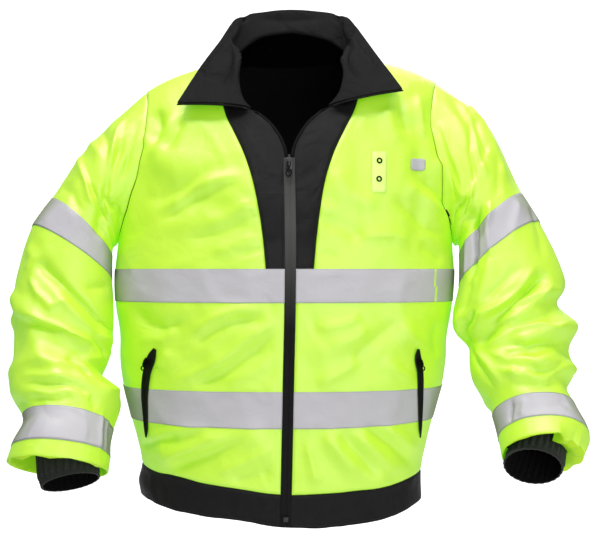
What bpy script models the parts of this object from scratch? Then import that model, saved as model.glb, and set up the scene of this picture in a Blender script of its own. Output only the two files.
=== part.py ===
"""Hi-vis work jacket, filled out as if worn: a zipped bomber with black collar, inserts and hem band.

Sizes in the tables are millimetres.  Heights are measured from the top edge of the chest tape, +X is
the wearer's left and -Y is the front.  The origin lies between the shoulders, where the wearer holds
the jacket up.
"""
import math

import bmesh
import bpy
import numpy as np
from mathutils import Matrix, Vector

MM = 0.001
ORIGIN_HEIGHT = 330.0        # of the origin, above the top edge of the chest tape

# Cloth
CLOTH = 1.5                  # wall of the coated outer cloth
COLLAR_CLOTH = 2.4           # two layers of softshell
BAND_CLOTH = 2.2             # hem band
KNIT = 1.8                   # inner storm cuff
TAPE = 0.8                   # reflective tape
TAPE_WIDTH = 50.8
SEAM_GAP = 0.18              # each side of a seam
LIFT = 0.35                  # between a panel and what is sewn on it

# Torso
ARMPIT = 44.0
HEM_TOP = -310.0
HEM_BOTTOM = -350.0
CHEST_TAPE = (-TAPE_WIDTH, -TAPE_WIDTH / 2.0, 0.0)      # lower edge, middle and upper edge
WAIST_TAPE = (-TAPE_WIDTH - 184.0, -TAPE_WIDTH / 2.0 - 184.0, -184.0)
YOKE_SEAM = CHEST_TAPE[1]    # seam between upper and lower front, under the tape
SECTION_POWER = 2.3          # superellipse of a level section
FRONT_POWER = 2.0            # and of the rise from chest to shoulder
BACK_POWER = 2.5
HEM_DIP = 35.0               # the front hem hangs this much lower than the sides
DIP_START = -200.0
LEAN = 0.018                 # sideways drift of the jacket for each millimetre of height
SIDE_DRIFT = 0.02            # the right half is fuller than the left one
DRIFT_TOP = 250.0            # height where that difference has faded
SHOULDER_TILT = 0.035        # the left shoulder sits higher, growing over these heights
TILT_START = 50.0
TILT_RISE = 200.0
CREASE_FADE = 60.0           # depth over which creases fade towards the side seams
ZIP_HALF = 8.0
NAPE = 0.734                 # share of the way up to the crest where the back neckline lies

# Sections of the torso, from the armpit down
TORSO_COLUMNS = ("height", "half_width", "front_depth", "back_depth")
TORSO_ROWS = (
    (-350, 225, 139, 118),
    (-310, 224, 140, 118),
    (-265, 233, 143, 119),
    (-230, 243, 146, 120),
    (-180, 256, 149, 122),
    (-146, 261, 150, 123),
    (-105, 262, 150, 124),
    (-60, 269, 152, 126),
    (-10, 272, 152, 128),
    (44, 268, 148, 128),
)

# Height of the shoulder crest at each distance from the middle
CREST_COLUMNS = ("x", "height")
CREST_ROWS = ((0, 362), (60, 355), (105, 338), (148, 327), (182, 317), (209, 306), (235, 291), (270, 255))

# Edges of the panels above the armpit, at shares of the way up to the shoulder crest
EDGE_COLUMNS = ("share", "armhole", "insert", "opening")
EDGE_ROWS = (
    (0.0, 268, 40, 8),
    (0.09, 257, 46, 8),
    (0.18, 247, 54, 8),
    (0.28, 237, 68, 8),
    (0.37, 231, 84, 28),
    (0.455, 227, 98, 62),
    (0.545, 225, 106, 80),
    (0.64, 225, 110, 92),
    (0.73, 227, 111, 98),
    (0.82, 230, 111, 101),
    (0.91, 233, 110, 102),
    (1.0, 236, 109, 102),
)
COLLAR_START = 5             # row of that table where the collar's front edge is sewn on
INSERT_FOOT = 36.0           # half width of the insert where it meets the chest tape

# Creases of the torso; positive heights stand proud, and face is -1 on the front and 1 on the back.
# Columns: face, x0, z0, x1, z1, width, height
CREASE_ROWS = (
    (-1, -200, 175, -75, 115, 26, 5),
    (-1, -190, 130, -110, 95, 20, -4),
    (-1, -235, 60, -205, 230, 16, -5),
    (-1, 205, 60, 200, 215, 16, -5),
    (-1, 110, 190, 100, 60, 18, -3),
    (-1, -160, -140, -90, -90, 20, 5),
    (-1, 60, -120, 190, -95, 24, 4),
    (-1, -180, -275, -50, -243, 13, 5),
    (-1, 80, -252, 150, -300, 13, 5),
    (-1, 125, -250, 190, -288, 11, 4),
    (-1, -215, -70, -120, -160, 18, -3),
    (1, -190, 190, -80, 120, 24, 5),
    (1, 195, 180, 90, 130, 24, 5),
    (1, -60, 60, 60, 40, 28, -4),
    (1, -170, -130, -60, -95, 22, 5),
    (1, 50, -100, 175, -150, 22, 5),
    (1, -150, -290, -60, -250, 13, 5),
    (1, 60, -248, 160, -292, 13, 5),
)

# Sections of the sleeves: outer and inner outline seen from the front, the middle's y and half the depth
SLEEVE_COLUMNS = ("along", "outer_x", "outer_z", "inner_x", "inner_z", "middle_y", "half_depth")
SLEEVE_ROWS = {
    -1: (
        (0, -231, 283, -273, 44, 0, 85),
        (100, -313, 205, -277, 38, -5, 84),
        (222, -378, 110, -281, 20, -20, 80),
        (273, -406, 65, -280, -16, -30, 78),
        (330, -424, 2, -276, -50, -42, 76),
        (390, -429, -49, -274, -100, -55, 76),
        (450, -426, -103, -279, -140, -66, 74),
        (490, -424, -155, -285, -168, -82, 71),
        (515, -427, -176, -262, -182, -95, 76),
        (535, -422, -198, -253, -201, -105, 76),
        (560, -399, -225, -264, -240, -120, 69),
        (611, -413, -270, -266, -280, -143, 73),
        (630, -418, -289, -267, -301, -150, 74),
    ),
    1: (
        (0, 243, 299, 263, 44, 0, 85),
        (100, 313, 242, 268, 38, -5, 84),
        (222, 375, 118, 274, 22, -20, 80),
        (273, 400, 72, 272, -27, -32, 78),
        (325, 430, 2, 261, -67, -48, 78),
        (365, 434, -32, 260, -92, -56, 76),
        (392, 421, -58, 267, -104, -61, 74),
        (418, 443, -88, 281, -118, -69, 75),
        (458, 434, -132, 282, -148, -84, 71),
        (488, 440, -160, 286, -173, -98, 73),
        (515, 425, -187, 305, -198, -112, 67),
        (540, 434, -211, 311, -219, -126, 64),
        (591, 450, -255, 317, -251, -152, 66),
        (612, 452, -279, 319, -274, -163, 67),
    ),
}
ARM_TAPE = (222.0, 273.0)
WRIST_TAPE = {-1: (560.0, 611.0), 1: (540.0, 591.0)}
CAP_BLEND = 120.0            # length over which the armhole's outline turns into the sleeve's
SLEEVE_CREASE_START = 60.0   # creases grow over this length from the armhole
MITRE = 0.3                  # lean of the cloth edges at an armhole
# Rows of the turned-in hem: share of the sleeve's size, way past its end, and the wall's tilt out and down
TURN_IN = ((0.91, 7.0, 0.35, 0.94), (0.79, 3.0, -0.3, 0.95), (0.76, -12.0, -1.0, 0.1))

# Creases of the sleeves; round is 0 at the outer side, 90 in front, 180 inside and 270 behind.
# Columns: along0, round0, along1, round1, width, height
SLEEVE_CREASE_ROWS = {
    -1: (
        (60, 80, 210, 120, 13, -8),
        (330, 70, 400, 140, 12, -7),
        (395, 20, 440, 120, 15, 8),
        (395, -60, 430, 0, 14, 7),
        (470, 30, 480, 120, 9, -8),
        (500, 10, 497, 130, 9, 6),
        (512, 60, 512, 150, 8, -7),
        (535, 30, 528, 90, 10, 6),
        (120, 220, 250, 300, 16, 7),
        (340, 200, 400, 290, 14, -7),
        (430, 210, 420, 300, 14, 7),
        (505, 200, 500, 310, 10, -7),
        (530, 210, 540, 300, 10, 6),
    ),
    1: (
        (40, 40, 130, 60, 14, -6),
        (150, 120, 230, 110, 12, -8),
        (345, 60, 430, 140, 12, -9),
        (380, 30, 375, 120, 12, 8),
        (420, 0, 450, 90, 14, 8),
        (470, 20, 478, 110, 10, -7),
        (495, 20, 500, 110, 10, 7),
        (375, 150, 410, 170, 10, -7),
        (120, 220, 250, 300, 16, 7),
        (340, 200, 400, 290, 14, -7),
        (430, 210, 420, 300, 14, 7),
        (480, 200, 485, 310, 10, -7),
        (512, 210, 515, 300, 10, 6),
    ),
}
DEGREE_LENGTH = 1.35         # millimetres of sleeve for each degree round it

# Storm cuffs: the sections where the gathered band starts and ends
CUFF_ROWS = {
    -1: (
        (0, -377, -277, -280, -276, -146, 42),
        (18, -374, -292, -277, -288, -151, 43),
        (36, -371, -308, -274, -299, -157, 44),
        (50, -366, -320, -272, -306, -163, 43),
    ),
    1: (
        (0, 417, -266, 338, -258, -153, 37),
        (18, 413, -281, 332, -269, -159, 38),
        (36, 408, -296, 325, -279, -167, 39),
        (50, 403, -308, 320, -287, -176, 39),
    ),
}
CUFF_ALONGS = (0.0, 18.0, 34.0, 41.0, 50.0)
CUFF_GATHERS = 24
GATHER_DEPTH = 1.1
GATHER_END = 36.0            # the band below is smoother, after this length
GATHER_FADE = 8.0
BAND_GATHER = 0.25           # share of the gathers left on it

# Ribs of the collar from the wearer's right front edge (-1) round the back (0) to the left one (1)
COLLAR_COLUMNS = ("place", "roll_x", "roll_y", "roll_z", "edge_x", "edge_y", "edge_z")
COLLAR_ROWS = (
    (-1.0, -98, -118, 251, -168, -99, 254),
    (-0.85, -84, -68, 319, -136, -40, 320),
    (-0.7, -86, -20, 352, -110, 10, 369),
    (-0.55, -92, 24, 374, -92, 46, 406),
    (-0.4, -70, 56, 388, -71, 70, 423),
    (-0.2, -36, 72, 394, -38, 85, 432),
    (0.0, 4, 77, 396, 2, 90, 436),
    (0.2, 44, 72, 394, 43, 85, 433),
    (0.4, 80, 56, 388, 85, 70, 423),
    (0.55, 101, 24, 374, 104, 46, 409),
    (0.7, 97, -20, 353, 121, 12, 377),
    (0.85, 96, -66, 322, 150, -38, 324),
    (1.0, 112, -118, 262, 176, -98, 275),
)
SHOULDER_PLACE = 0.55        # place round the collar of the shoulder seam
ROLL_SHARE = 0.5             # place of the roll between seam and top edge
COLLAR_UPS = (0.0, 0.16, 0.33, 0.5, 0.67, 0.84, 1.0)

# Hand pockets: the slit's course on the front, and its lens-shaped welt
POCKET_COLUMNS = ("share", "x", "z")
POCKET_ROWS = (
    (0.0, 200, -122),
    (0.25, 210, -157),
    (0.5, 217, -192),
    (0.75, 216, -228),
    (1.0, 215, -258),
)
POCKET_WIDTH = 11.0
POCKET_END = 0.3             # share of that width at the ends
POCKET_LIFT = 2.4
POCKET_STEPS = 12
POCKET_SLIDER_SHARE = 0.14
POCKET_SLIDER_SCALE = 0.62
POCKET_PULL_SCALE = 0.7

# Zip
ZIP_THICKNESS = 1.8
ZIP_TAPE_WIDTH = 4.0
SLIDER_HEIGHT = 158.0        # middle of the slider
SLIDER_WIDTH = 11.0
SLIDER_LENGTH = 19.0
SLIDER_DEPTH = 3.2
PULL_LENGTH = 23.0
RING_RADIUS = 5.4
RING_HOLE = 3.3
WIRE = 1.5                   # thickness of the pull
BRIDGE_WIDTH = 2.2
BRIDGE_REACH = 4.2           # of the bridge's posts from the slider's middle
BRIDGE_POST = 1.2
BRIDGE_SPAN = 1.0
BRIDGE_TOP = SLIDER_DEPTH + WIRE + 1.9
SLIDER_SINK = 0.6            # depth of the posts in the body
SLIDER_ROUND = 0.9
SLIDER_OFF = 0.4             # clearance under the slider, beside LIFT
STEM_HALF = 1.6              # half width of the pull's stem
STEM_TOP = -8.4
WINDOW_BOTTOM = -6.5         # of the opening round the bridge
WINDOW_GAP = 0.5
ARM_WIDTH = 1.2
OPENING_START = 1.5          # of the open zip's halves, above the slider
OPENING_END = 0.03           # share of the front left free below the collar's corner
OPENING_ROWS = 7
COLLAR_TAPE_START = 0.15     # of those halves along the collar's front edges
COLLAR_TAPE_ROWS = 8
AWAY_REACH = 3.0             # over which the way out of the cloth is measured
AWAY_PLACE = 0.97            # and the same along the collar
PIVOT_UP = 1.8               # the pull's axis, from the slider's middle and from its back
PIVOT_OUT = SLIDER_DEPTH + WIRE / 2.0 + 0.45

# Microphone tab and label on the wearer's left chest
TAB = {"x": 137.0, "top": 175.0, "width": 23.0, "length": 61.0, "columns": 2, "rows": 5}
TAB_CLOTH = 1.2
EYELET_HEIGHTS = {"eyelet_upper": 161.0, "eyelet_lower": 134.0}
EYELET_RADIUS = 4.6
EYELET_HOLE = 2.3
EYELET_HEIGHT = 1.2
EYELET_ROUND = 0.5
EYELET_STEPS = 16
LABEL = {"x": 200.0, "top": 166.0, "width": 25.0, "length": 18.0, "columns": 4, "rows": 2}
PATCH_LIFT = 1.3

# Rows and columns of the panels
SIDE_COLUMNS = 10            # between the insert's edge and the side seam or armhole
INSERT_COLUMNS = 2
NECK_COLUMNS = 4             # between the back's middle and the end of its neckline
BACK_COLUMNS = 8             # between there and the side seam or armhole
LOWER_HEIGHTS = (HEM_TOP, -272.0) + WAIST_TAPE + (-150.0, -117.0, -84.0) + CHEST_TAPE[:2]
UPPER_HEIGHTS = CHEST_TAPE[1:] + (22.0,)
BAND_HEIGHTS = (HEM_BOTTOM, -330.0, HEM_TOP)
SLEEVE_ALONGS = {
    -1: (0, 30, 65, 105, 145, 185, 222, 247.5, 273, 302, 330, 354, 378, 402, 426, 450, 470, 487, 503,
         518, 532, 546, 560, 585.5, 611, 630),
    1: (0, 30, 65, 105, 145, 185, 222, 247.5, 273, 300, 326, 348, 369, 390, 411, 433, 455, 474, 490,
        506, 524, 540, 565.5, 591, 612),
}
STEP = 0.002                 # for the slopes of a surface, as a share
FINE_STEP = 0.05             # and in millimetres


def as_table(columns, rows):
    """Named columns of numbers."""
    values = np.array(rows, dtype=float)
    return {name: values[:, index] for index, name in enumerate(columns)}


TORSO = as_table(TORSO_COLUMNS, TORSO_ROWS)
CREST = as_table(CREST_COLUMNS, CREST_ROWS)
EDGES = as_table(EDGE_COLUMNS, EDGE_ROWS)
COLLAR = as_table(COLLAR_COLUMNS, COLLAR_ROWS)
POCKET = as_table(POCKET_COLUMNS, POCKET_ROWS)
SLEEVES = {side: as_table(SLEEVE_COLUMNS, rows) for side, rows in SLEEVE_ROWS.items()}
CUFFS = {side: as_table(SLEEVE_COLUMNS, rows) for side, rows in CUFF_ROWS.items()}
SHARES = tuple(EDGES["share"])


def smooth(value):
    """Soft ramp from 0 to 1."""
    value = min(max(value, 0.0), 1.0)
    return value * value * (3.0 - 2.0 * value)


def read(table, name, place):
    """A column's value between rows, on a smooth curve through them; the first column holds the places."""
    places = next(iter(table.values()))
    values = table[name]
    index = int(np.clip(np.searchsorted(places, place) - 1, 0, len(places) - 2))
    span = places[index + 1] - places[index]
    share = min(max((place - places[index]) / span, 0.0), 1.0)
    slopes = np.gradient(values, places)
    rise = 3.0 * share**2 - 2.0 * share**3
    start = share**3 - 2.0 * share**2 + share
    finish = share**3 - share**2
    bend = span * (start * slopes[index] + finish * slopes[index + 1])
    return values[index] * (1.0 - rise) + values[index + 1] * rise + bend


def unit(vector):
    return vector / max(np.linalg.norm(vector), 1e-9)


def segment_bump(point, start, end, width, height):
    """Height of a soft ridge along a segment, at a point of its plane."""
    run = end - start
    share = np.clip(np.dot(point - start, run) / np.dot(run, run), 0.0, 1.0)
    distance = np.linalg.norm(point - start - share * run)
    return height * math.exp(-(distance / width) ** 2)


# ---- Torso surface -------------------------------------------------------------------------------

def section_depth(face, x, height):
    """Depth of the level section at a distance from the middle."""
    half = read(TORSO, "half_width", height)
    depth = read(TORSO, "front_depth" if face < 0 else "back_depth", height)
    ratio = min(x / half, 1.0)
    return depth * (1.0 - ratio**SECTION_POWER) ** (1.0 / SECTION_POWER)


def creased(face, side, x, y, z):
    """The crease height at a point, fading towards the side and shoulder seams."""
    total = 0.0
    here = np.array((side * x, z))
    for where, x0, z0, x1, z1, width, height in CREASE_ROWS:
        if where == face:
            total += segment_bump(here, np.array((x0, z0)), np.array((x1, z1)), width, height)
    return total * smooth(abs(y) / CREASE_FADE)


def posed(side, x, y, z):
    """The cut's point as the jacket hangs: drifting sideways, with one shoulder higher."""
    drift = SIDE_DRIFT * (1.0 - smooth(z / DRIFT_TOP))
    wide = side * x * (1.0 - side * drift)
    tilt = SHOULDER_TILT * wide * smooth((z - TILT_START) / TILT_RISE)
    return np.array((wide + LEAN * z, y, z + tilt))


def lower_point(side, face, x, height):
    """A point of the torso below the armpit."""
    y = face * section_depth(face, x, height)
    dip = HEM_DIP * smooth((DIP_START - height) / (DIP_START - HEM_BOTTOM))
    middle = max(1.0 - (x / read(TORSO, "half_width", height)) ** 2, 0.0)
    share = middle if face < 0 else 0.5 * middle
    y += face * creased(face, side, x, y, height)
    return posed(side, x, y, height - dip * share)


def upper_point(side, face, x, share):
    """A point of the torso between the armpit (share 0) and the shoulder crest (share 1)."""
    power = FRONT_POWER if face < 0 else BACK_POWER
    turn = share * math.pi / 2.0
    rise = math.sin(turn) ** (2.0 / power)
    run = max(math.cos(turn), 0.0) ** (2.0 / power)
    top = read(CREST, "height", x)
    z = ARMPIT + (top - ARMPIT) * rise
    y = face * section_depth(face, x, ARMPIT) * run
    fold = creased(face, side, x, y, z)
    return posed(side, x, y + face * fold * run, z + fold * rise)


def torso_point(side, face, x, level):
    """A point at a level: 0 to 1 is the share above the armpit, and below 0 the depth under it."""
    if level >= 0.0:
        return upper_point(side, face, x, level)
    return lower_point(side, face, x, ARMPIT + level)


def front_share(x, z):
    """The share up to the crest at which the front reaches a height."""
    rise = (z - ARMPIT) / (read(CREST, "height", x) - ARMPIT)
    return math.asin(min(max(rise, 0.0), 1.0)) * 2.0 / math.pi


def front_at(side, x, z):
    """The front's outer point at a distance from the middle and a height."""
    if z < ARMPIT:
        return lower_point(side, -1, x, z)
    return upper_point(side, -1, x, front_share(x, z))


def levels_of(heights, shares=()):
    return [height - ARMPIT for height in heights] + list(shares)


def panel_edges(level):
    """Distances from the middle of the opening, the insert's edge and the side or armhole, at a level."""
    if level < 0.0:
        height = ARMPIT + level
        reach = max(height, 0.0) / ARMPIT
        insert = INSERT_FOOT + (EDGES["insert"][0] - INSERT_FOOT) * reach
        return ZIP_HALF, insert, read(TORSO, "half_width", height)
    return read(EDGES, "opening", level), read(EDGES, "insert", level), read(EDGES, "armhole", level)


def spread(start, end, columns):
    """Even columns, without the first."""
    return [start + (end - start) * (index + 1) / columns for index in range(columns)]


def crowded(start, end, columns):
    """Columns that crowd towards the side, where the section turns."""
    turns = [math.sin((index + 1) / columns * math.pi / 2.0) for index in range(columns)]
    return [start + (end - start) * turn ** (2.0 / SECTION_POWER) for turn in turns]


def panel_columns(kind, level):
    """Distances of a panel's columns from the middle."""
    opening, insert, half = panel_edges(level)
    if kind == "insert":
        return [opening] + spread(opening, insert, INSERT_COLUMNS)
    if kind == "upper":
        return [insert] + crowded(insert, half, SIDE_COLUMNS)
    if kind == "lower":
        return [opening] + spread(opening, insert, INSERT_COLUMNS) + crowded(insert, half, SIDE_COLUMNS)
    neck = EDGES["opening"][-1]
    return [0.0] + spread(0.0, neck, NECK_COLUMNS) + crowded(neck, half, BACK_COLUMNS)


def back_top(x):
    """Share of the crest's height that the back panel reaches, lower along the neckline."""
    neck = EDGES["opening"][-1]
    if x >= neck:
        return 1.0
    return 1.0 - (1.0 - NAPE) * math.sqrt(1.0 - (x / neck) ** 2)


def panel_point(side, face, x, level):
    """A point of a panel; the back's neckline is cut out."""
    if face > 0 and level > 0.0:
        level *= back_top(x)
    return torso_point(side, face, x, level)


def panel_normal(side, face, x, level):
    across = FINE_STEP if x < ZIP_HALF else -FINE_STEP
    up = STEP if 0.0 <= level < 0.5 else -STEP
    if level < 0.0:
        up = -1.0
    here = panel_point(side, face, x, level)
    along_x = (panel_point(side, face, x + across, level) - here) / across
    along_up = (panel_point(side, face, x, level + up) - here) / up
    return -side * face * unit(np.cross(along_x, along_up))


# ---- Armholes ------------------------------------------------------------------------------------

def armhole_point(side, face, share):
    return upper_point(side, face, read(EDGES, "armhole", share), share)


def armhole_frame(side):
    """Middle of the armhole and the direction that it faces."""
    tip = armhole_point(side, -1, 1.0)
    pit = armhole_point(side, -1, 0.0)
    facing = unit(np.cross(tip - pit, np.array((0.0, 1.0, 0.0))))
    return (tip + pit) / 2.0, facing * (1.0 if facing[0] * side > 0.0 else -1.0)


def armhole_mitre(side, face, share):
    """Direction of the wall's edge where the torso and the sleeve meet."""
    middle, facing = armhole_frame(side)
    ray = armhole_point(side, face, share) - middle
    ray = unit(ray - np.dot(ray, facing) * facing)
    return unit(ray + MITRE * facing)


# ---- Sleeve surface ------------------------------------------------------------------------------

def tube_frame(table, along):
    """Middle, half width and half depth vectors of a sleeve or cuff section."""
    ends = table["along"]
    low = max(along - 6.0, ends[0])
    high = min(along + 6.0, ends[-1])
    heading = unit(tube_middle(table, high) - tube_middle(table, low))
    outer = np.array((read(table, "outer_x", along), 0.0, read(table, "outer_z", along)))
    inner = np.array((read(table, "inner_x", along), 0.0, read(table, "inner_z", along)))
    width = (outer - inner) / 2.0
    deep = unit(np.cross(heading, width))
    if deep[1] > 0.0:
        deep = -deep
    return tube_middle(table, along), width, deep * read(table, "half_depth", along)


def tube_middle(table, along):
    x = (read(table, "outer_x", along) + read(table, "inner_x", along)) / 2.0
    z = (read(table, "outer_z", along) + read(table, "inner_z", along)) / 2.0
    return np.array((x, read(table, "middle_y", along), z))


def ring_point(table, along, angle):
    middle, width, deep = tube_frame(table, along)
    turn = math.radians(angle)
    return middle + width * math.cos(turn) + deep * math.sin(turn)


def loop_point(side, angle):
    """The armhole at an angle: the front edge from the tip down, and the back edge up again."""
    angle %= 360.0
    if angle <= 180.0:
        return armhole_point(side, -1, 1.0 - angle / 180.0)
    return armhole_point(side, 1, angle / 180.0 - 1.0)


def sleeve_crease(side, along, angle):
    total = 0.0
    for along0, round0, along1, round1, width, height in SLEEVE_CREASE_ROWS[side]:
        start = np.array((along0, round0 * DEGREE_LENGTH))
        end = np.array((along1, round1 * DEGREE_LENGTH))
        for turn in (-360.0, 0.0, 360.0):
            here = np.array((along, (angle + turn) * DEGREE_LENGTH))
            total += segment_bump(here, start, end, width, height)
    return total


def sleeve_point(side, along, angle):
    """Outer point of a sleeve; its first section is the armhole itself."""
    table = SLEEVES[side]
    point = ring_point(table, along, angle)
    middle = tube_middle(table, along)
    crease = sleeve_crease(side, along, angle) * smooth(along / SLEEVE_CREASE_START)
    point = point + unit(point - middle) * crease
    rest = 1.0 - smooth(along / CAP_BLEND)
    if rest > 0.0:
        loop = loop_point(side, angle) + armhole_frame(side)[1] * 4.0 * SEAM_GAP
        point = point + rest * (loop - ring_point(table, 0.0, angle))
    return point


def ring_angles():
    """Angles of the sleeve's seams with the rows of the front, then of the back."""
    front = [180.0 * (1.0 - share) for share in reversed(SHARES)]
    back = [180.0 * (1.0 + share) for share in SHARES[1:-1]]
    return front + back


def tube_normal(point, middle, along, angle, low, high):
    down = point(min(along + 1.0, high), angle) - point(max(along - 1.0, low), angle)
    around = point(along, angle + 1.0) - point(along, angle - 1.0)
    normal = unit(np.cross(down, around))
    return normal if np.dot(normal, point(along, angle) - middle) > 0.0 else -normal


def sleeve_normal(side, along, angle):
    table = SLEEVES[side]
    end = table["along"][-1]
    middle = tube_middle(table, along)
    return tube_normal(lambda a, r: sleeve_point(side, a, r), middle, along, angle, 0.0, end)


# ---- Collar surface ------------------------------------------------------------------------------

def neckline_point(place):
    """The neck seam at a place round the collar."""
    side = -1 if place < 0.0 else 1
    amount = abs(place)
    if amount >= SHOULDER_PLACE:
        share = (1.0 - amount) / (1.0 - SHOULDER_PLACE)
        low = SHARES[COLLAR_START]
        share = low + (1.0 - low) * share
        return upper_point(side, -1, read(EDGES, "opening", share), share)
    x = EDGES["opening"][-1] * amount / SHOULDER_PLACE
    return upper_point(side, 1, x, back_top(x))


def collar_point(place, up):
    """Outer face of the collar: seam, roll and top edge on one parabola."""
    place = min(max(place, -1.0), 1.0)
    seam = neckline_point(place)
    roll = np.array([read(COLLAR, name, place) for name in ("roll_x", "roll_y", "roll_z")])
    edge = np.array([read(COLLAR, name, place) for name in ("edge_x", "edge_y", "edge_z")])
    seam_part = (1.0 - up) * (1.0 - up / ROLL_SHARE)
    roll_part = up * (1.0 - up) / (ROLL_SHARE * (1.0 - ROLL_SHARE))
    edge_part = up * (up - ROLL_SHARE) / (1.0 - ROLL_SHARE)
    return seam * seam_part + roll * roll_part + edge * edge_part


def collar_normal(place, up):
    step = 0.01
    low = max(place - step, -1.0)
    high = min(place + step, 1.0)
    around = collar_point(high, up) - collar_point(low, up)
    rise = collar_point(place, up + step) - collar_point(place, up - step)
    return unit(np.cross(rise, around))


# ---- Walls ---------------------------------------------------------------------------------------

def trimmed(points, first_row=0.0, last_row=0.0, first_column=0.0, last_column=0.0):
    """Moves a panel's edges back from the seams."""
    result = points.copy()
    if first_row:
        result[0] += first_row * directions(points[1] - points[0])
    if last_row:
        result[-1] += last_row * directions(points[-2] - points[-1])
    if first_column:
        result[:, 0] += first_column * directions(points[:, 1] - points[:, 0])
    if last_column:
        result[:, -1] += last_column * directions(points[:, -2] - points[:, -1])
    return result


def directions(vectors):
    return vectors / np.linalg.norm(vectors, axis=-1, keepdims=True)


def grid_faces(rows, columns, closed):
    """Corner numbers of a wall's two skins and its rims; every cell is split along the same diagonal."""
    count = rows * columns
    last = columns if closed else columns - 1
    faces = []
    for row in range(rows - 1):
        for column in range(last):
            a = row * columns + column
            b = row * columns + (column + 1) % columns
            c = b + columns
            d = a + columns
            faces += [(a, b, c), (a, c, d)]
            faces += [(c + count, b + count, a + count), (d + count, c + count, a + count)]
    for column in range(last):
        near = (column + 1) % columns
        faces += rim(column, near, count)
        top = (rows - 1) * columns
        faces += rim(top + near, top + column, count)
    if not closed:
        for row in range(rows - 1):
            faces += rim((row + 1) * columns, row * columns, count)
            side = columns - 1
            faces += rim(row * columns + side, (row + 1) * columns + side, count)
    return faces


def rim(a, b, count):
    return [(b, a, a + count), (b, a + count, b + count)]


def add_wall(name, outer, normals, thickness, material, closed=False):
    """One closed cloth wall between an outer grid of points and its copy, moved in."""
    rows, columns = outer.shape[:2]
    inner = outer - normals * thickness
    corners = np.concatenate((outer.reshape(-1, 3), inner.reshape(-1, 3)))
    corners[:, 2] -= ORIGIN_HEIGHT
    faces = grid_faces(rows, columns, closed)
    facing = np.cross(outer[0, 1] - outer[0, 0], outer[1, 1] - outer[0, 0])
    if np.dot(facing, normals[0, 0]) < 0.0:
        faces = [face[::-1] for face in faces]
    mesh = bpy.data.meshes.new(name)
    mesh.from_pydata((corners * MM).tolist(), [], faces)
    mesh.shade_smooth()
    mesh.set_sharp_from_angle(angle=math.radians(40.0))
    return add_object(name, mesh, material)


def add_object(name, mesh, material, matrix=None, parent=None):
    obj = bpy.data.objects.new(name, mesh)
    mesh.materials.clear()
    mesh.materials.append(material)
    PARTS.objects.link(obj)
    if parent is not None:
        obj.parent = parent
    if matrix is not None:
        obj.matrix_basis = matrix
    return obj


def panel_grid(side, face, kind, levels):
    """A panel's outer points and normals, a row for each level."""
    places = [[(x, level) for x in panel_columns(kind, level)] for level in levels]
    points = np.array([[panel_point(side, face, *place) for place in row] for row in places])
    normals = np.array([[panel_normal(side, face, *place) for place in row] for row in places])
    return points, normals


def mitre_armhole(side, face, levels, normals, column):
    for row, level in enumerate(levels):
        if level >= 0.0:
            normals[row, column] = armhole_mitre(side, face, level)


def moved_out(points, normals, distance):
    return points + normals * distance


# ---- Pieces --------------------------------------------------------------------------------------

def side_name(side):
    return "left" if side > 0 else "right"


def add_fronts(side, cloth, black):
    lower = levels_of(LOWER_HEIGHTS)
    points, normals = panel_grid(side, -1, "lower", lower)
    points = trimmed(points, SEAM_GAP, SEAM_GAP, SEAM_GAP, SEAM_GAP)
    add_wall("front_lower_" + side_name(side), points, normals, CLOTH, cloth)

    upper = levels_of(UPPER_HEIGHTS, SHARES)
    points, normals = panel_grid(side, -1, "upper", upper)
    mitre_armhole(side, -1, upper, normals, -1)
    points = trimmed(points, SEAM_GAP, SEAM_GAP, SEAM_GAP, SEAM_GAP)
    add_wall("front_upper_" + side_name(side), points, normals, CLOTH, cloth)

    points, normals = panel_grid(side, -1, "insert", upper)
    points = trimmed(points, SEAM_GAP, SEAM_GAP, SEAM_GAP, SEAM_GAP)
    add_wall("insert_" + side_name(side), points, normals, CLOTH, black)


def back_grid(levels):
    """Both halves of the back in one grid, from the right side seam to the left one."""
    halves = [panel_grid(side, 1, "back", levels) for side in (-1, 1)]
    for side, half in zip((-1, 1), halves):
        mitre_armhole(side, 1, levels, half[1], -1)
    points = np.concatenate((halves[0][0][:, ::-1], halves[1][0][:, 1:]), axis=1)
    normals = np.concatenate((halves[0][1][:, ::-1], halves[1][1][:, 1:]), axis=1)
    return points, normals


def add_back(cloth):
    levels = levels_of(LOWER_HEIGHTS + UPPER_HEIGHTS[1:], SHARES)
    points, normals = back_grid(levels)
    points = trimmed(points, SEAM_GAP, SEAM_GAP, SEAM_GAP, SEAM_GAP)
    add_wall("back", points, normals, CLOTH, cloth)


def add_hem_band(black):
    levels = levels_of(BAND_HEIGHTS)
    for side in (-1, 1):
        points, normals = panel_grid(side, -1, "lower", levels)
        points = trimmed(points, 0.0, SEAM_GAP, SEAM_GAP, SEAM_GAP)
        add_wall("hem_" + side_name(side), points, normals, BAND_CLOTH, black)
    points, normals = back_grid(levels)
    points = trimmed(points, 0.0, SEAM_GAP, SEAM_GAP, SEAM_GAP)
    add_wall("hem_back", points, normals, BAND_CLOTH, black)


def add_body_tapes(silver):
    """The chest and waist tapes, on the points of the panels under them."""
    for name, heights in (("chest", CHEST_TAPE), ("waist", WAIST_TAPE)):
        levels = levels_of(heights)
        for side in (-1, 1):
            points, normals = panel_grid(side, -1, "lower", levels)
            points = moved_out(points, normals, LIFT + TAPE)
            points = trimmed(points, 0.0, 0.0, 3.0 * SEAM_GAP, 2.0 * SEAM_GAP)
            add_wall("tape_" + name + "_" + side_name(side), points, normals, TAPE, silver)
        points, normals = back_grid(levels)
        points = moved_out(points, normals, LIFT + TAPE)
        points = trimmed(points, 0.0, 0.0, 2.0 * SEAM_GAP, 2.0 * SEAM_GAP)
        add_wall("tape_" + name + "_back", points, normals, TAPE, silver)


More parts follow.
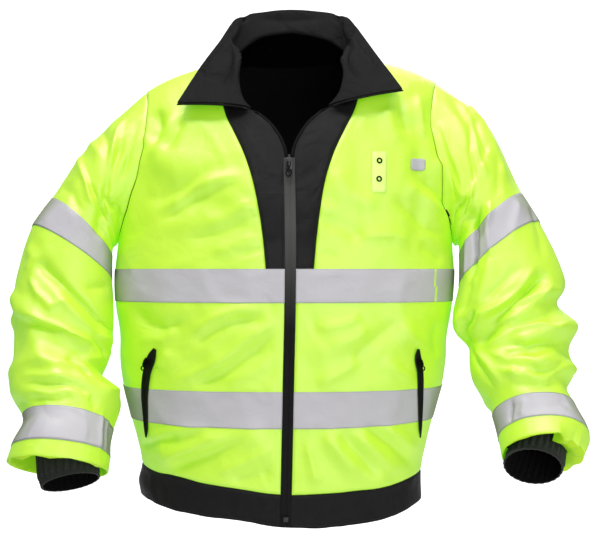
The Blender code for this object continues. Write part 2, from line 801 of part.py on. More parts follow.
def sleeve_grid(side, alongs):
    angles = ring_angles()
    points = np.array([[sleeve_point(side, along, angle) for angle in angles] for along in alongs])
    normals = np.array([[sleeve_normal(side, along, angle) for angle in angles] for along in alongs])
    return points, normals


def turned_in(side, points, normals):
    """Rows past the sleeve's hem, turned in towards the storm cuff."""
    hem = points[-1]
    middle = hem.mean(axis=0)
    end = SLEEVES[side]["along"][-1]
    heading = unit(tube_middle(SLEEVES[side], end) - tube_middle(SLEEVES[side], end - 30.0))
    cuff = tube_middle(CUFFS[side], CUFF_ALONGS[1])
    sideways = cuff - middle
    sideways -= np.dot(sideways, heading) * heading
    rows = []
    slopes = []
    outward = directions(hem - middle)
    for size, past, out, down in TURN_IN:
        shift = sideways * (1.0 - size) / (1.0 - TURN_IN[-1][0])
        rows.append(middle + shift + (hem - middle) * size + heading * past)
        slopes.append(directions(out * outward + down * heading))
    normals = normals.copy()
    normals[-1] = directions(outward + MITRE * heading)
    return np.concatenate((points, rows)), np.concatenate((normals, slopes))


def add_sleeve(side, cloth, silver):
    alongs = SLEEVE_ALONGS[side]
    points, normals = sleeve_grid(side, alongs)
    for column, angle in enumerate(ring_angles()):
        face = -1 if angle <= 180.0 else 1
        share = abs(1.0 - angle / 180.0)
        normals[0, column] = armhole_mitre(side, face, share)
    points, normals = turned_in(side, points, normals)
    add_wall("sleeve_" + side_name(side), points, normals, CLOTH, cloth, closed=True)
    for name, span in (("arm", ARM_TAPE), ("wrist", WRIST_TAPE[side])):
        places = [along for along in alongs if span[0] <= along <= span[1]]
        points, normals = sleeve_grid(side, places)
        points = moved_out(points, normals, LIFT + TAPE)
        add_wall("tape_" + name + "_" + side_name(side), points, normals, TAPE, silver, closed=True)


def cuff_point(side, along, angle):
    """Outer point of the gathered storm cuff."""
    table = CUFFS[side]
    middle = tube_middle(table, along)
    point = ring_point(table, along, angle)
    fade = 1.0 - (1.0 - BAND_GATHER) * smooth((along - GATHER_END) / GATHER_FADE)
    wave = math.cos(math.radians(angle) * CUFF_GATHERS)
    return point + unit(point - middle) * GATHER_DEPTH * wave * fade


def add_cuff(side, knit):
    table = CUFFS[side]
    angles = [index * 180.0 / CUFF_GATHERS for index in range(2 * CUFF_GATHERS)]
    points = np.array([[cuff_point(side, along, angle) for angle in angles] for along in CUFF_ALONGS])
    normals = []
    for along in CUFF_ALONGS:
        middle, width, deep = tube_frame(table, along)
        wide = np.linalg.norm(width)
        thick = np.linalg.norm(deep)
        row = []
        for angle in angles:
            turn = math.radians(angle)
            row.append(unit(width / wide**2 * math.cos(turn) + deep / thick**2 * math.sin(turn)))
        normals.append(row)
    add_wall("cuff_" + side_name(side), points, np.array(normals), KNIT, knit, closed=True)


def collar_places():
    """Places whose seam points are the points of the front and back panels."""
    low = SHARES[COLLAR_START]
    side = [1.0 - (share - low) / (1.0 - low) * (1.0 - SHOULDER_PLACE) for share in SHARES[COLLAR_START:]]
    back = [SHOULDER_PLACE * (1.0 - index / NECK_COLUMNS) for index in range(1, NECK_COLUMNS)]
    half = side + back
    return [-place for place in half] + [0.0] + list(reversed(half))


def add_collar(black):
    places = collar_places()
    points = np.array([[collar_point(place, up) for place in places] for up in COLLAR_UPS])
    normals = np.array([[collar_normal(place, up) for place in places] for up in COLLAR_UPS])
    points = trimmed(points, first_row=4.0 * SEAM_GAP)
    add_wall("collar", points, normals, COLLAR_CLOTH, black)


def add_zip(zip_black):
    """The closed chain between the fronts, down to the band's lower edge."""
    levels = levels_of(BAND_HEIGHTS[:2] + LOWER_HEIGHTS + UPPER_HEIGHTS[1:], SHARES[:3])
    top = front_share(0.0, SLIDER_HEIGHT + SLIDER_LENGTH / 2.0)
    levels.append(top)
    inside = ZIP_HALF - SEAM_GAP
    points = []
    normals = []
    for level in levels:
        row = [torso_point(side, -1, inside * amount, level) for side, amount in ((-1, 1), (1, 0), (1, 1))]
        rise = torso_point(1, -1, 0.0, level + (STEP if level >= 0.0 else 1.0)) - row[1]
        normal = unit(np.cross(row[2] - row[0], rise))
        points.append(row)
        normals.append([normal] * 3)
    add_wall("zip_chain", np.array(points), np.array(normals), ZIP_THICKNESS, zip_black)


def opening_edge(side):
    """The edge from the slider up to the collar's corner: points, ways out of the cloth, and normals."""
    edge = []
    start = front_share(0.0, SLIDER_HEIGHT + SLIDER_LENGTH / 2.0 + OPENING_START)
    for share in np.linspace(start, SHARES[COLLAR_START] - OPENING_END, OPENING_ROWS):
        x = read(EDGES, "opening", share)
        here = upper_point(side, -1, x, share)
        away = unit(upper_point(side, -1, max(x - AWAY_REACH, 0.5), share) - here)
        ahead = upper_point(side, -1, read(EDGES, "opening", share + STEP), share + STEP) - here
        edge.append((here, away, unit(ahead)))
    for up in np.linspace(COLLAR_TAPE_START, 1.0, COLLAR_TAPE_ROWS):
        here = collar_point(side, up)
        away = unit(here - collar_point(side * AWAY_PLACE, up))
        ahead = collar_point(side, up + STEP) - here
        edge.append((here, away, unit(ahead)))
    return edge


def add_opening_tapes(zip_black):
    """The two open halves of the zip, along the fronts and the collar's front edges."""
    for side in (-1, 1):
        points = []
        normals = []
        for here, away, ahead in opening_edge(side):
            away = unit(away - np.dot(away, ahead) * ahead)
            normal = side * unit(np.cross(ahead, away))
            points.append((here + away * 4.0 * SEAM_GAP, here + away * ZIP_TAPE_WIDTH))
            normals.append((normal, normal))
        name = "zip_tape_" + side_name(side)
        add_wall(name, np.array(points), np.array(normals), ZIP_THICKNESS, zip_black)


def patch_point(side, spot, across, down, lift):
    """A point over the front, on a rectangle given by its middle, top, width and length."""
    x = spot["x"] + across * spot["width"] / 2.0
    z = spot["top"] - down * spot["length"]
    here = front_at(side, x, z)
    right = front_at(side, x + 1.0, z) - here
    up = front_at(side, x, z + 1.0) - here
    normal = side * unit(np.cross(right, up))
    return here + normal * lift, normal


def add_patch(name, side, spot, thickness, lift, material):
    acrosses = np.linspace(-1.0, 1.0, spot["columns"] + 1)
    downs = np.linspace(0.0, 1.0, spot["rows"] + 1)
    cells = [[patch_point(side, spot, a, d, lift + thickness) for a in acrosses] for d in downs]
    points = np.array([[cell[0] for cell in row] for row in cells])
    normals = np.array([[cell[1] for cell in row] for row in cells])
    add_wall(name, points, normals, thickness, material)


def placed(point, normal, up):
    """A frame in metres on the cloth: local Z is its normal and local Y runs up."""
    z = Vector(normal).normalized()
    y = (Vector(up) - Vector(up).dot(z) * z).normalized()
    x = y.cross(z)
    matrix = Matrix((x, y, z)).transposed().to_4x4()
    matrix.translation = Vector((point - np.array((0.0, 0.0, ORIGIN_HEIGHT))) * MM)
    return matrix


def ring_mesh(name, radius, hole, height, round_edge):
    """A turned ring, its profile running down the outer side."""
    profile = [
        (hole, height - round_edge),
        (hole + round_edge, height),
        (radius - round_edge, height),
        (radius, height - round_edge),
        (radius, 0.0),
        (hole, 0.0),
    ]
    mesh = bpy.data.meshes.new(name)
    edges = [(index, (index + 1) % len(profile)) for index in range(len(profile))]
    mesh.from_pydata([(x * MM, 0.0, z * MM) for x, z in profile], edges, [])
    return mesh


def add_eyelets(metal):
    for name, z in EYELET_HEIGHTS.items():
        spot = {"x": TAB["x"], "top": z, "width": 1.0, "length": 1.0}
        point, normal = patch_point(1, spot, 0.0, 0.0, PATCH_LIFT + TAB_CLOTH + LIFT)
        mesh = ring_mesh(name, EYELET_RADIUS, EYELET_HOLE, EYELET_HEIGHT, EYELET_ROUND)
        obj = add_object(name, mesh, metal, placed(point, normal, (0.0, 0.0, 1.0)))
        screw = obj.modifiers.new("turn", "SCREW")
        screw.steps = EYELET_STEPS
        screw.render_steps = EYELET_STEPS
        screw.use_merge_vertices = True
        screw.merge_threshold = 0.00001


def box_mesh(name, low, high):
    """A plain block between two corners, in millimetres."""
    x0, y0, z0 = low
    x1, y1, z1 = high
    corners = [(x * MM, y * MM, z * MM) for z in (z0, z1) for y in (y0, y1) for x in (x0, x1)]
    faces = [(0, 2, 3, 1), (4, 5, 7, 6), (0, 1, 5, 4), (2, 6, 7, 3), (0, 4, 6, 2), (1, 3, 7, 5)]
    mesh = bpy.data.meshes.new(name)
    mesh.from_pydata(corners, [], faces)
    return mesh


def outline_mesh(name, outlines, thickness):
    """A flat plate from closed outlines, as a mesh centred on its own plane."""
    curve = bpy.data.curves.new(name, "CURVE")
    curve.dimensions = "2D"
    curve.fill_mode = "BOTH"
    curve.extrude = thickness * MM / 2.0
    for outline in outlines:
        spline = curve.splines.new("POLY")
        spline.points.add(len(outline) - 1)
        for point, (x, y) in zip(spline.points, outline):
            point.co = (x * MM, y * MM, 0.0, 1.0)
        spline.use_cyclic_u = True
    guide = bpy.data.objects.new(name + "_curve", curve)
    PARTS.objects.link(guide)
    bpy.context.view_layer.update()
    mesh = bpy.data.meshes.new_from_object(guide.evaluated_get(bpy.context.evaluated_depsgraph_get()))
    mesh.name = name
    bpy.data.objects.remove(guide)
    return welded(mesh)


def welded(mesh):
    work = bmesh.new()
    work.from_mesh(mesh)
    bmesh.ops.remove_doubles(work, verts=work.verts, dist=1e-6)
    bmesh.ops.recalc_face_normals(work, faces=work.faces)
    work.to_mesh(mesh)
    work.free()
    return mesh


def arc(radius, start, end, steps, middle=(0.0, 0.0)):
    """Points on an arc, in degrees."""
    angles = [math.radians(start + (end - start) * index / steps) for index in range(steps + 1)]
    return [(middle[0] + radius * math.cos(a), middle[1] + radius * math.sin(a)) for a in angles]


def add_slider(name, matrix, scale, metal):
    """A zip slider: its body with a bridge over the pull's cross bar.  Local Y runs up the zip."""
    width = SLIDER_WIDTH * scale
    length = SLIDER_LENGTH * scale
    depth = SLIDER_DEPTH
    body = box_mesh(name, (-width / 2, -length / 2, 0.0), (width / 2, length / 2, depth))
    obj = add_object(name, body, metal, matrix)
    bevel = obj.modifiers.new("round", "BEVEL")
    bevel.width = SLIDER_ROUND * MM
    bevel.segments = 2
    half = BRIDGE_WIDTH / 2.0
    foot = depth - SLIDER_SINK
    reach = BRIDGE_REACH
    legs = (
        ("upper", (-half, reach - BRIDGE_POST, foot), (half, reach, BRIDGE_TOP)),
        ("lower", (-half, -reach, foot), (half, -reach + BRIDGE_POST, BRIDGE_TOP)),
        ("span", (-half, -reach, BRIDGE_TOP - BRIDGE_SPAN), (half, reach, BRIDGE_TOP)),
    )
    for label, low, high in legs:
        cutter = bpy.data.objects.new(name + "_" + label, box_mesh(name + "_" + label, low, high))
        cutter.matrix_basis = matrix
        cutter.hide_render = True
        cutter.display_type = "WIRE"
        CUTTERS.objects.link(cutter)
        join = obj.modifiers.new(label, "BOOLEAN")
        join.operation = "UNION"
        join.object = cutter
    return obj


def pull_mesh(name, scale):
    """The pull: a cross bar at the origin, two arms round the bridge, a stem and a ring below."""
    bar = WIRE / 2.0
    arm = BRIDGE_WIDTH / 2.0 + WINDOW_GAP
    wide = arm + ARM_WIDTH
    length = PULL_LENGTH * scale
    ring = RING_RADIUS * scale
    hole = RING_HOLE * scale
    middle = (0.0, -length + ring)
    half = math.degrees(math.asin(min(STEM_HALF / ring, 1.0)))
    low = WINDOW_BOTTOM - WINDOW_GAP
    outer = [(-wide, bar), (-wide, low), (-STEM_HALF, STEM_TOP)]
    outer += arc(ring, 90.0 + half, 450.0 - half, 18, middle)
    outer += [(STEM_HALF, STEM_TOP), (wide, low), (wide, bar)]
    window = [(-arm, -bar), (arm, -bar), (arm, WINDOW_BOTTOM), (-arm, WINDOW_BOTTOM)]
    return outline_mesh(name, [outer, window, arc(hole, 0.0, 340.0, 17, middle)], WIRE)


def add_pull(name, matrix, scale, metal):
    """The pull hangs from its pivot empty, which lies on the joint's axis."""
    pivot = bpy.data.objects.new(name + "_pivot", None)
    pivot.matrix_basis = matrix
    PARTS.objects.link(pivot)
    return add_object(name, pull_mesh(name, scale), metal, parent=pivot)


def hanging(matrix):
    """A frame under the slider's bridge, turned to hang straight down."""
    spot = matrix @ Vector((0.0, PIVOT_UP * MM, PIVOT_OUT * MM))
    across = (matrix.to_3x3() @ Vector((1.0, 0.0, 0.0))).normalized()
    up = Vector((0.0, 0.0, 1.0))
    up = (up - up.dot(across) * across).normalized()
    out = across.cross(up)
    result = Matrix((across, up, out)).transposed().to_4x4()
    result.translation = spot
    return result


def add_front_slider(metal):
    here = front_at(1, 0.0, SLIDER_HEIGHT)
    up = front_at(1, 0.0, SLIDER_HEIGHT + 2.0) - here
    normal = unit(np.cross(np.array((1.0, 0.0, 0.0)), up))
    matrix = placed(here + normal * (LIFT + SLIDER_OFF), normal, up)
    add_slider("zip_slider", matrix, 1.0, metal)
    pivot = matrix @ Matrix.Translation((0.0, PIVOT_UP * MM, PIVOT_OUT * MM))
    add_pull("zip_pull", pivot, 1.0, metal)


def pocket_frame(side, share):
    """Point, way down the slit, way across it and normal, on the front."""
    x = read(POCKET, "x", share)
    z = read(POCKET, "z", share)
    here = front_at(side, x, z)
    ahead = (read(POCKET, "x", min(share + 0.02, 1.0)) - read(POCKET, "x", max(share - 0.02, 0.0)),
             read(POCKET, "z", min(share + 0.02, 1.0)) - read(POCKET, "z", max(share - 0.02, 0.0)))
    length = math.hypot(*ahead)
    down = unit(front_at(side, x + ahead[0] / length, z + ahead[1] / length) - here)
    level = front_at(side, x + 1.0, z) - here
    normal = -side * unit(np.cross(level, down))
    across = unit(np.cross(down, normal))
    return here, down, across, normal


def add_pocket(side, black, metal):
    """A curved welt with its zip, a slider near the top and a hanging pull."""
    shares = np.linspace(0.0, 1.0, POCKET_STEPS + 1)
    points = []
    normals = []
    for share in shares:
        here, down, across, normal = pocket_frame(side, share)
        swell = math.sin(math.pi * min(max(share, 0.02), 0.98)) ** 0.6
        half = POCKET_WIDTH / 2.0 * (POCKET_END + (1.0 - POCKET_END) * swell)
        base = here + normal * (POCKET_LIFT + CLOTH)
        points.append([base - across * half, base, base + across * half])
        normals.append([normal] * 3)
    name = "pocket_" + side_name(side)
    add_wall(name + "_welt", np.array(points), np.array(normals), CLOTH, black)
    here, down, across, normal = pocket_frame(side, POCKET_SLIDER_SHARE)
    matrix = placed(here + normal * (POCKET_LIFT + CLOTH + LIFT + SLIDER_OFF), normal, -down)
    add_slider(name + "_slider", matrix, POCKET_SLIDER_SCALE, metal)
    add_pull(name + "_pull", hanging(matrix), POCKET_PULL_SCALE, metal)


def principled(name, color, roughness, metallic=0.0):
    material = bpy.data.materials.new(name)
    material.use_nodes = True
    shader = material.node_tree.nodes["Principled BSDF"]
    shader.inputs["Base Color"].default_value = (*color, 1.0)
    shader.inputs["Roughness"].default_value = roughness
    shader.inputs["Metallic"].default_value = metallic
    material.diffuse_color = (*color, 1.0)
    return material


def hi_vis_cloth():
    return principled("hi_vis_cloth", (0.60, 1.0, 0.03), 0.55)


def black_softshell():
    return principled("black_softshell", (0.022, 0.021, 0.022), 0.7)


def reflective_tape():
    return principled("reflective_tape", (0.52, 0.50, 0.54), 0.4)


def black_knit():
    return principled("black_knit", (0.015, 0.016, 0.015), 0.9)


def zip_coil():
    return principled("zip_coil", (0.03, 0.03, 0.032), 0.45)


def dark_metal():
    return principled("dark_metal", (0.12, 0.12, 0.12), 0.35, 1.0)


def silver_label():
    return principled("silver_label", (0.6, 0.6, 0.62), 0.45)


def new_collection(name):
    collection = bpy.data.collections.new(name)
    bpy.context.scene.collection.children.link(collection)
    return collection


for old in list(bpy.data.objects):
    bpy.data.objects.remove(old)
PARTS = new_collection("hi_vis_work_jacket")
CUTTERS = new_collection("cutters")


def build():
    cloth = hi_vis_cloth()
    black = black_softshell()
    silver = reflective_tape()
    knit = black_knit()
    coil = zip_coil()
    metal = dark_metal()
    for side in (-1, 1):
        add_fronts(side, cloth, black)
        add_sleeve(side, cloth, silver)
        add_cuff(side, knit)
        add_pocket(side, coil, metal)
    add_back(cloth)
    add_hem_band(black)
    add_body_tapes(silver)
    add_collar(black)
    add_zip(coil)
    add_opening_tapes(coil)
    add_front_slider(metal)
    add_patch("mic_tab", 1, TAB, TAB_CLOTH, PATCH_LIFT, cloth)
    add_eyelets(metal)
    add_patch("chest_label", 1, LABEL, TAPE, PATCH_LIFT, silver_label())


build()
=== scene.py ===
import math

import bpy
import numpy as np
from mathutils import Matrix, Vector


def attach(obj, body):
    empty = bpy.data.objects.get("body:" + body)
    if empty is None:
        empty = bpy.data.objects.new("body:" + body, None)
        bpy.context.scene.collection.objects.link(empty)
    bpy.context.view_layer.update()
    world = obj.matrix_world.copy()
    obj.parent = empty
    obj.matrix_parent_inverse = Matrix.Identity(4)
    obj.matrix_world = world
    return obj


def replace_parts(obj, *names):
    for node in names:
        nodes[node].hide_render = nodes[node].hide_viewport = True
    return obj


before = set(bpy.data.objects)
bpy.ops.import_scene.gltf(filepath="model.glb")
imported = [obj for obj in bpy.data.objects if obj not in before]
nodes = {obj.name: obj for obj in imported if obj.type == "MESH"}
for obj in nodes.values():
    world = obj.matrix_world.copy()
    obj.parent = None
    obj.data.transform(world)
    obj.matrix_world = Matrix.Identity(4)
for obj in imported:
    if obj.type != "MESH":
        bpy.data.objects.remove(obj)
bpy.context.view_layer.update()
bpy.ops.object.select_all(action="DESELECT")
print("frame loaded")

mm = 0.001
originHeight = 330.0      # of the frame's origin, above the chest tape's top edge


def asTable(names, rows):
    values = np.array(rows, float)
    return {name: values[:, place] for place, name in enumerate(names.split())}


# the cut, in millimetres; heights are measured from the chest tape's top edge
cut = {
    "cloth": 1.5, "collar": 2.4, "band": 2.2, "knit": 1.8, "zip": 1.8,
    "tapeLift": 0.25, "tape": 0.7,
    "armpit": 44.0, "hemTop": -310.0, "hemBottom": -350.0,
    "chestTape": (-50.8, 0.0), "waistTape": (-234.8, -184.0), "yokeSeam": -25.4,
    "sectionPower": 2.3, "frontPower": 2.0, "backPower": 2.5,
    "hemDip": 35.0, "dipStart": -200.0, "lean": 0.018, "sideDrift": 0.02, "driftTop": 250.0,
    "shoulderTilt": 0.035, "tiltStart": 50.0, "tiltRise": 200.0, "creaseFade": 60.0,
    "zipHalf": 8.0, "nape": 0.734, "insertFoot": 36.0, "capBlend": 120.0, "seamGap": 0.18, "seamWidth": 2.4,
    "hangRun": 70.0, "swayDepth": 60.0, "swayHalf": 190.0}
torso = asTable("height half front back", (
    (-350, 225, 139, 118), (-310, 224, 140, 118), (-265, 233, 143, 119), (-230, 243, 146, 120),
    (-180, 256, 149, 122), (-146, 261, 150, 123), (-105, 262, 150, 124), (-60, 269, 152, 126),
    (-10, 272, 152, 128), (44, 268, 148, 128)))
crest = asTable("x height", (
    (0, 362), (60, 355), (105, 338), (148, 327), (182, 317), (209, 306), (235, 291), (270, 255)))
edges = asTable("share armhole insert opening", (
    (0.0, 268, 40, 8), (0.09, 257, 46, 8), (0.18, 247, 54, 8), (0.28, 237, 68, 8),
    (0.37, 231, 84, 28), (0.455, 227, 98, 62), (0.545, 225, 106, 80), (0.64, 225, 110, 92),
    (0.73, 227, 111, 98), (0.82, 230, 111, 101), (0.91, 233, 110, 102), (1.0, 236, 109, 102)))
# how much lower the hem hangs across the jacket, at the band's upper and lower edge
hang = asTable("x top bottom", (
    (-240, -2, 7), (-191, -3, 4), (-168, -7, 1), (-146, -7.5, 1), (-123, -6, 0), (-101, -6, -2),
    (-78, -5.5, -4), (-56, -4, -3), (-33, -1.5, 1), (-11, 0, 3), (19, 1, 4.5), (42, 1, 7), (64, 1.5, 8),
    (87, 2.5, 8.5), (109, 3.5, 9), (132, 6, 11), (154, 7.5, 13), (177, 9, 13.5), (192, 9, 13.5),
    (240, 9, 12)))
sleeveColumns = "along outerX outerZ innerX innerZ middleY halfDepth"
sleeves = {
    -1: asTable(sleeveColumns, (
        (0, -231, 283, -273, 44, 0, 85), (100, -313, 205, -277, 38, -5, 84),
        (222, -378, 110, -281, 20, -20, 80), (273, -406, 65, -280, -16, -30, 78),
        (330, -424, 2, -276, -50, -42, 76), (390, -429, -49, -274, -100, -55, 76),
        (450, -426, -103, -279, -140, -66, 74), (490, -424, -152, -285, -168, -84, 72),
        (515, -427, -176, -264, -184, -93, 74), (535, -422, -198, -255, -204, -103, 74),
        (560, -401, -225, -264, -240, -118, 71), (611, -413, -270, -266, -280, -142, 73),
        (630, -418, -289, -267, -301, -150, 74))),
    1: asTable(sleeveColumns, (
        (0, 243, 299, 263, 44, 0, 85), (100, 313, 242, 268, 38, -5, 84),
        (222, 375, 118, 274, 22, -20, 80), (273, 400, 72, 272, -27, -32, 78),
        (325, 430, 2, 261, -67, -48, 78), (365, 434, -32, 260, -92, -56, 76),
        (392, 421, -58, 267, -104, -61, 74), (418, 443, -88, 281, -118, -69, 75),
        (458, 434, -132, 282, -148, -84, 71), (488, 440, -160, 286, -173, -98, 73),
        (515, 425, -187, 305, -198, -112, 67), (540, 434, -211, 311, -219, -126, 64),
        (591, 450, -254, 317, -250, -150, 66), (612, 452, -277, 319, -272, -167, 67)))}
cuffs = {
    -1: asTable(sleeveColumns, (
        (0, -374, -276, -288, -275, -147, 38), (18, -372, -293, -284, -286, -151.5, 40),
        (36, -369, -312, -281, -299, -157, 42), (50, -363, -327, -279, -306, -162, 41))),
    1: asTable(sleeveColumns, (
        (0, 417, -262, 338, -254, -150, 38), (18, 413, -276, 332, -264, -158, 39),
        (36, 409, -290, 325, -273, -168, 40), (50, 404, -301, 320, -280, -178, 41)))}
collarRibs = asTable("place rollX rollY rollZ edgeX edgeY edgeZ", (
    (-1.0, -98, -118, 251, -168, -99, 254), (-0.85, -84, -68, 319, -136, -40, 320),
    (-0.7, -86, -20, 352, -110, 10, 369), (-0.55, -92, 24, 374, -92, 46, 406),
    (-0.4, -70, 56, 388, -71, 70, 423), (-0.2, -36, 72, 394, -38, 85, 432),
    (0.0, 4, 77, 396, 2, 90, 436), (0.2, 44, 72, 394, 43, 85, 433),
    (0.4, 80, 56, 388, 85, 70, 423), (0.55, 101, 24, 374, 104, 46, 409),
    (0.7, 97, -20, 353, 121, 12, 377), (0.85, 96, -66, 322, 150, -38, 324),
    (1.0, 112, -118, 262, 176, -98, 275)))
sideNames = {-1: "right", 1: "left"}
# how far the middle of the front sways sideways at each height
sway = asTable("height amount", (
    (-390, 4.6), (-300, 5.0), (-180, 5.3), (-22, 5.5), (60, 4.0), (120, 1.8), (150, 0.6), (180, 0.0),
    (440, 0.0)))

# folds of the front (-1) and back (1): the line, its width, its height, and how sharp it is unless that is 2
torsoFolds = {
    -1: (
        (((-200, 175), (-75, 115)), 26, 5), (((-190, 130), (-110, 95)), 20, -4),
        (((-235, 60), (-205, 230)), 16, -5), (((205, 60), (200, 215)), 16, -5),
        (((110, 190), (100, 60)), 18, -3), (((-160, -140), (-90, -90)), 20, 5),
        (((60, -120), (190, -95)), 24, 4), (((-180, -275), (-50, -243)), 13, 5),
        (((80, -252), (150, -300)), 13, 5), (((125, -250), (190, -288)), 11, 4),
        (((-215, -70), (-120, -160)), 18, -3)),
    1: (
        (((-190, 190), (-80, 120)), 24, 5), (((195, 180), (90, 130)), 24, 5), (((-60, 60), (60, 40)), 28, -4),
        (((-170, -130), (-60, -95)), 22, 5), (((50, -100), (175, -150)), 22, 5),
        (((-150, -290), (-60, -250)), 13, 5), (((60, -248), (160, -292)), 13, 5))}
# finer ones, which fade beside the zip, the tab, the label and the pocket pulls
torsoCreases = {
    -1: (
        (((-232, 270), (-229, 231), (-228, 194)), 9, 3.5, 1.6),
        (((-204, 257), (-204, 225), (-212, 196)), 9, -4.5, 1.4),
        (((-178, 253), (-190, 225), (-206, 197), (-220, 172)), 11, 4.5, 1.5),
        (((-166, 238), (-180, 207), (-194, 186)), 9, -3.0, 1.5),
        (((-228, 116), (-188, 110), (-156, 128), (-122, 146), (-84, 152)), 12, -4.5, 1.5),
        (((-196, 98), (-172, 102), (-140, 122), (-108, 136), (-68, 138)), 10, 5.0, 1.5),
        (((-200, 74), (-164, 86), (-136, 108), (-98, 124), (-66, 126)), 10, -5.0, 1.4),
        (((-128, 62), (-96, 74), (-72, 86), (-48, 98)), 12, 3.6, 1.6),
        (((-158, 40), (-120, 48), (-84, 62), (-50, 74)), 9, -3.6, 1.5),
        (((-116, 24), (-84, 36), (-50, 50)), 9, 3.0, 1.6), (((-78, 115), (-46, 100)), 4.5, -2.4, 1.4),
        (((-70, 96), (-44, 88)), 4.5, 1.8, 1.5), (((-68, 86), (-40, 74)), 4.5, -2.4, 1.4),
        (((-64, 61), (-38, 54)), 4, -2.0, 1.4), (((-78, 20), (-36, 30)), 5, -2.2, 1.5),
        (((-236, -58), (-210, -86), (-182, -92), (-150, -80)), 9, -5.0, 1.4),
        (((-222, -120), (-188, -112), (-162, -90)), 12, 4.5, 1.6),
        (((-140, -100), (-104, -72), (-76, -62), (-46, -58)), 10, 5.0, 1.5),
        (((-150, -126), (-112, -98), (-80, -80), (-38, -70)), 9, -4.6, 1.4),
        (((-166, -170), (-116, -146), (-80, -122), (-48, -94), (-20, -72)), 10, 5.0, 1.5),
        (((-140, -178), (-92, -156), (-48, -120), (-18, -94)), 10, -4.4, 1.5),
        (((-194, -152), (-178, -122)), 8, 3.4, 1.5), (((-92, -168), (-50, -152), (-22, -132)), 11, 2.6, 1.7),
        (((-212, -270), (-172, -248), (-148, -240), (-116, -236)), 7, 4.5, 1.5),
        (((-224, -282), (-188, -262), (-156, -250)), 6, -4.8, 1.4),
        (((-192, -300), (-148, -270), (-116, -251), (-84, -242)), 8, 4.8, 1.5),
        (((-168, -300), (-128, -278), (-88, -258), (-54, -244)), 7, -4.6, 1.4),
        (((-106, -298), (-72, -282), (-40, -266), (-12, -256)), 9, 3.8, 1.5),
        (((-80, -304), (-48, -290), (-16, -278)), 8, -3.0, 1.5),
        (((168, 266), (172, 233), (188, 200)), 10, -4.6, 1.4),
        (((199, 268), (204, 235), (206, 196)), 9, 3.6, 1.5),
        (((222, 266), (224, 221), (238, 172), (250, 140)), 8, -5.0, 1.4),
        (((146, 252), (156, 222), (174, 188)), 12, 3.6, 1.6),
        (((222, 172), (248, 142), (268, 110)), 10, 5.5, 1.5),
        (((206, 138), (238, 112), (266, 84)), 8, -5.5, 1.4),
        (((180, 130), (212, 108), (246, 86)), 9, 4.6, 1.5),
        (((160, 112), (188, 86), (216, 66), (254, 50)), 9, -4.4, 1.4),
        (((60, 154), (88, 110), (140, 94)), 14, 3.0, 1.7), (((48, 72), (80, 64), (116, 48)), 12, -3.6, 1.6),
        (((48, 108), (78, 100)), 5, -2.2, 1.4), (((44, 82), (74, 70)), 5, -2.4, 1.4),
        (((42, 96), (70, 88)), 5, 1.8, 1.5), (((40, 30), (70, 20)), 5, -1.8, 1.5),
        (((110, 46), (156, 50), (192, 40)), 11, 3.4, 1.6), (((206, 40), (232, 22), (248, 6)), 8, -3.4, 1.5),
        (((40, -84), (76, -88), (112, -72)), 11, 3.4, 1.6),
        (((96, -134), (144, -106), (176, -80)), 12, -3.8, 1.6),
        (((40, -170), (76, -158), (112, -140)), 10, 3.8, 1.5),
        (((60, -120), (100, -106), (128, -86)), 12, 2.6, 1.7),
        (((240, -84), (234, -110), (238, -140)), 8, -4.0, 1.5),
        (((174, -80), (198, -108), (222, -124)), 10, 3.6, 1.6),
        (((146, -140), (180, -156), (202, -170)), 10, 2.8, 1.6),
        (((50, -234), (84, -262), (118, -292)), 8, 4.6, 1.5),
        (((76, -234), (112, -262), (150, -300)), 7, -4.8, 1.4),
        (((102, -236), (140, -266), (182, -300)), 7, 4.6, 1.5),
        (((122, -234), (164, -260), (208, -300)), 7, -4.8, 1.4),
        (((150, -234), (184, -256), (212, -278)), 7, 4.2, 1.5),
        (((28, -246), (40, -274), (50, -302)), 8, 3.4, 1.5)),
    1: (
        (((-214, 90), (-170, 120), (-90, 150)), 12, 4.6, 1.5),
        (((-206, 60), (-140, 84), (-60, 90)), 12, -4.8, 1.5),
        (((214, 80), (160, 104), (70, 120)), 11, 4.4, 1.5), (((208, 56), (130, 60), (60, 74)), 11, -4.6, 1.5),
        (((-214, 230), (-190, 180), (-186, 120)), 10, -5.0, 1.4),
        (((-232, 220), (-216, 170), (-226, 110)), 9, 4.0, 1.5),
        (((214, 236), (196, 190), (190, 130)), 10, -5.0, 1.4),
        (((232, 216), (218, 170), (228, 100)), 9, 4.0, 1.5),
        (((-50, 200), (0, 176), (52, 202)), 18, 3.4, 1.7), (((-80, 36), (-10, 20), (70, 40)), 14, -3.4, 1.6),
        (((-226, -66), (-190, -96), (-130, -92)), 9, 4.2, 1.5),
        (((-220, -84), (-150, -120), (-60, -128)), 11, -4.6, 1.4),
        (((220, -70), (160, -110), (70, -120)), 11, 4.6, 1.5),
        (((226, -92), (176, -134), (110, -150)), 9, -4.4, 1.4),
        (((-40, -64), (-10, -110), (-20, -160)), 13, 3.4, 1.6),
        (((60, -66), (30, -120), (50, -170)), 13, -3.6, 1.6),
        (((-110, -64), (-90, -110), (-110, -168)), 13, 2.8, 1.7),
        (((-200, -300), (-120, -270), (-60, -244)), 7, -4.6, 1.4),
        (((-216, -284), (-150, -262), (-104, -240)), 7, 4.2, 1.5),
        (((-90, -304), (-40, -270), (-20, -242)), 8, 4.0, 1.5),
        (((-40, -304), (0, -270), (30, -242)), 8, -3.6, 1.5),
        (((30, -304), (70, -276), (130, -246)), 8, 4.0, 1.5),
        (((60, -304), (110, -280), (160, -250)), 7, -4.4, 1.4),
        (((110, -304), (150, -272), (196, -248)), 7, 4.4, 1.5))}
